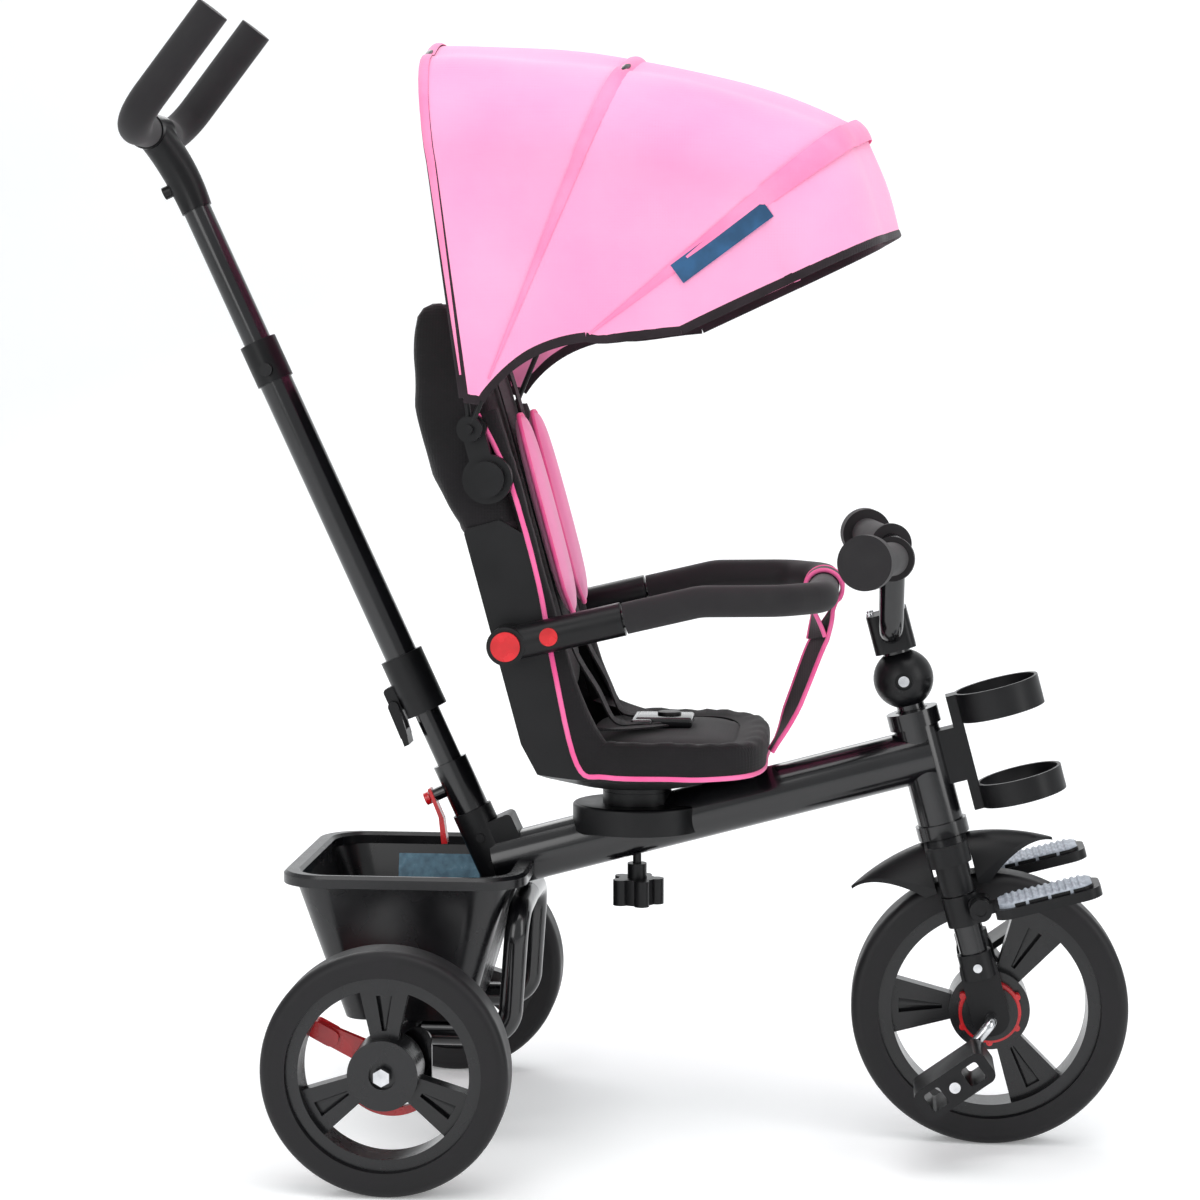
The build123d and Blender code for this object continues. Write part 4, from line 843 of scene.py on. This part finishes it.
def makeSticker():  # a plain film on the far inner wall of the basket
    inner, outer = sticker["wall"]
    rows = []
    for k in range(9):
        share = sticker["low"] + (sticker["high"] - sticker["low"]) * k / 8
        z = sticker["floor"] + (sticker["mouth"] - sticker["floor"]) * share
        y = inner + (outer - inner) * share - sticker["gap"]
        rows.append([seatPoint(sticker["from"] + (sticker["to"] - sticker["from"]) * j / 8, y, z) for j in range(9)])
    film = gridPiece("basket_sticker", rows, tealFilm)
    faceOutwards(film)
    thicken(film, 0.0004)
    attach(film, "frame")


# recessed floors between the two ribs of each spoke
spokeWeb = {"half": 2.6, "lap": 0.8, "crown": 1.2,
            "rear_left": ("wheel_left", (0, 215, 109), (90, 210, 330), 37, 68),
            "rear_right": ("wheel_right", (0, -215, 109), (90, 210, 330), 37, 68),
            "front": ("front_wheel", (529, 0, 127), (180, 60, 300), 43, 83)}


def makeSpokeWebs():
    for name in ("rear_left", "rear_right", "front"):
        body, centre, angles, near, far = spokeWeb[name]
        lap = spokeWeb["lap"]
        vertices, faces = [], []
        for angle in angles:
            a = math.radians(angle)
            run, side = Vector((math.cos(a), 0, math.sin(a))), Vector((-math.sin(a), 0, math.cos(a)))
            base = len(vertices)
            middle = seatPoint(*centre)
            across = (-1, -0.5, 0, 0.5, 1)
            lengths = [near - lap + (far - near + 2 * lap) * k / 6 for k in range(7)]
            for sign in (1, -1):
                for length in lengths:
                    half = 2 + lap + 5 * (length - near) / (far - near)
                    for w in across:
                        thick = sign * (spokeWeb["half"] + spokeWeb["crown"] * (1 - w * w))
                        vertices.append(middle + (run * length + side * half * w + Vector((0, thick, 0))) / 1000)
            width, count = len(across), len(lengths)
            skin = width * count
            for k in range(count - 1):
                for j in range(width - 1):
                    p = base + k * width + j
                    faces.append((p, p + 1, p + width + 1, p + width))
                    faces.append((p + skin, p + skin + width, p + skin + width + 1, p + skin + 1))
            rim = [base + j for j in range(width)] + [base + k * width + width - 1 for k in range(1, count)]
            rim += [base + (count - 1) * width + j for j in range(width - 2, -1, -1)]
            rim += [base + k * width for k in range(count - 2, 0, -1)]
            for p, q in zip(rim, rim[1:] + rim[:1]):
                faces.append((q, p, p + skin, q + skin))
        web = newPiece("spoke_web_" + name, vertices, faces, glossPolypropylene)
        faceOutwards(web)
        smoothFaces(web, 40)
        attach(web, body)


makeFootPads()
makeSticker()
makeSpokeWebs()
print("footrest pads, sticker and spoke webs laid")


# studio
studio = {"floorSize": 14.0, "wallAt": 4.0, "cameraAt": (0.2154, -2.6091, 0.7550), "yaw": 0.0920, "pitch": 0.0966,
          "lens": 85.24}


def makeStudio():
    bpy.ops.object.select_all(action="DESELECT")
    bpy.ops.mesh.primitive_plane_add(size=studio["floorSize"])
    floor = bpy.context.object
    floor.name = "studio_floor"
    bpy.ops.object.mode_set(mode="EDIT")
    bpy.ops.mesh.select_mode(type="EDGE")
    bpy.ops.mesh.select_all(action="DESELECT")
    bpy.ops.object.mode_set(mode="OBJECT")
    half = studio["floorSize"] / 2
    for edge in floor.data.edges:
        edge.select = all(floor.data.vertices[i].co.y > half - 0.01 for i in edge.vertices)
    for vertex in floor.data.vertices:
        vertex.select = vertex.co.y > half - 0.01
    bpy.ops.object.mode_set(mode="EDIT")
    bpy.ops.transform.translate(value=(0, studio["wallAt"] - half, 0))
    bpy.ops.mesh.extrude_region_move(TRANSFORM_OT_translate={"value": (0, 0, 6)})
    bpy.ops.object.mode_set(mode="OBJECT")
    bevel = floor.modifiers.new("cove", "BEVEL")
    bevel.width = 1.5
    bevel.segments = 16
    bevel.limit_method = "ANGLE"
    bpy.ops.object.modifier_apply(modifier="cove")
    bpy.ops.object.shade_smooth()
    paper, tree, surface = newMaterial("StudioPaper", Roughness=0.7)
    coords = addNode(tree, "ShaderNodeTexCoord")
    colourDrift(tree, surface, coords, "#F7F8F9", "#FBFCFC", 900)
    surface.inputs["Emission Color"].default_value = toLinear("#FFFFFF")
    surface.inputs["Emission Strength"].default_value = 0.16
    floor.data.materials.append(paper)


def addLight(name, at, size, power, target):
    light = bpy.data.lights.new(name, "AREA")
    light.shape = "RECTANGLE"
    light.size, light.size_y = size
    light.energy = power
    lamp = bpy.data.objects.new(name, light)
    bpy.context.scene.collection.objects.link(lamp)
    lamp.location = at
    lamp.rotation_euler = (Vector(target) - Vector(at)).to_track_quat("-Z", "Y").to_euler()


def makeLights():
    middle = (0.0, 0.0, 0.5)
    addLight("top_softbox", (0.2, -0.6, 3.2), (3.0, 2.2), 44, middle)
    addLight("front_softbox", (-1.6, -3.2, 1.7), (1.6, 2.4), 30, middle)
    addLight("right_softbox", (2.8, -1.6, 1.6), (1.2, 2.4), 26, middle)
    addLight("back_softbox", (-1.2, 2.6, 2.4), (2.4, 1.4), 30, middle)
    world = bpy.data.worlds.new("studio_air")
    world.use_nodes = True
    world.node_tree.nodes["Background"].inputs[0].default_value = toLinear("#F4F6F8")
    world.node_tree.nodes["Background"].inputs[1].default_value = 0.62
    bpy.context.scene.world = world
    bpy.context.scene.view_settings.view_transform = "Standard"


def makeCamera():
    camera = bpy.data.objects.new("camera", bpy.data.cameras.new("camera"))
    bpy.context.scene.collection.objects.link(camera)
    camera.data.lens = studio["lens"]
    camera.data.sensor_width = 36
    camera.location = studio["cameraAt"]
    camera.rotation_euler = (math.pi / 2 - studio["pitch"], 0, studio["yaw"])
    bpy.context.scene.camera = camera


makeStudio()
makeLights()
makeCamera()
print("studio ready")
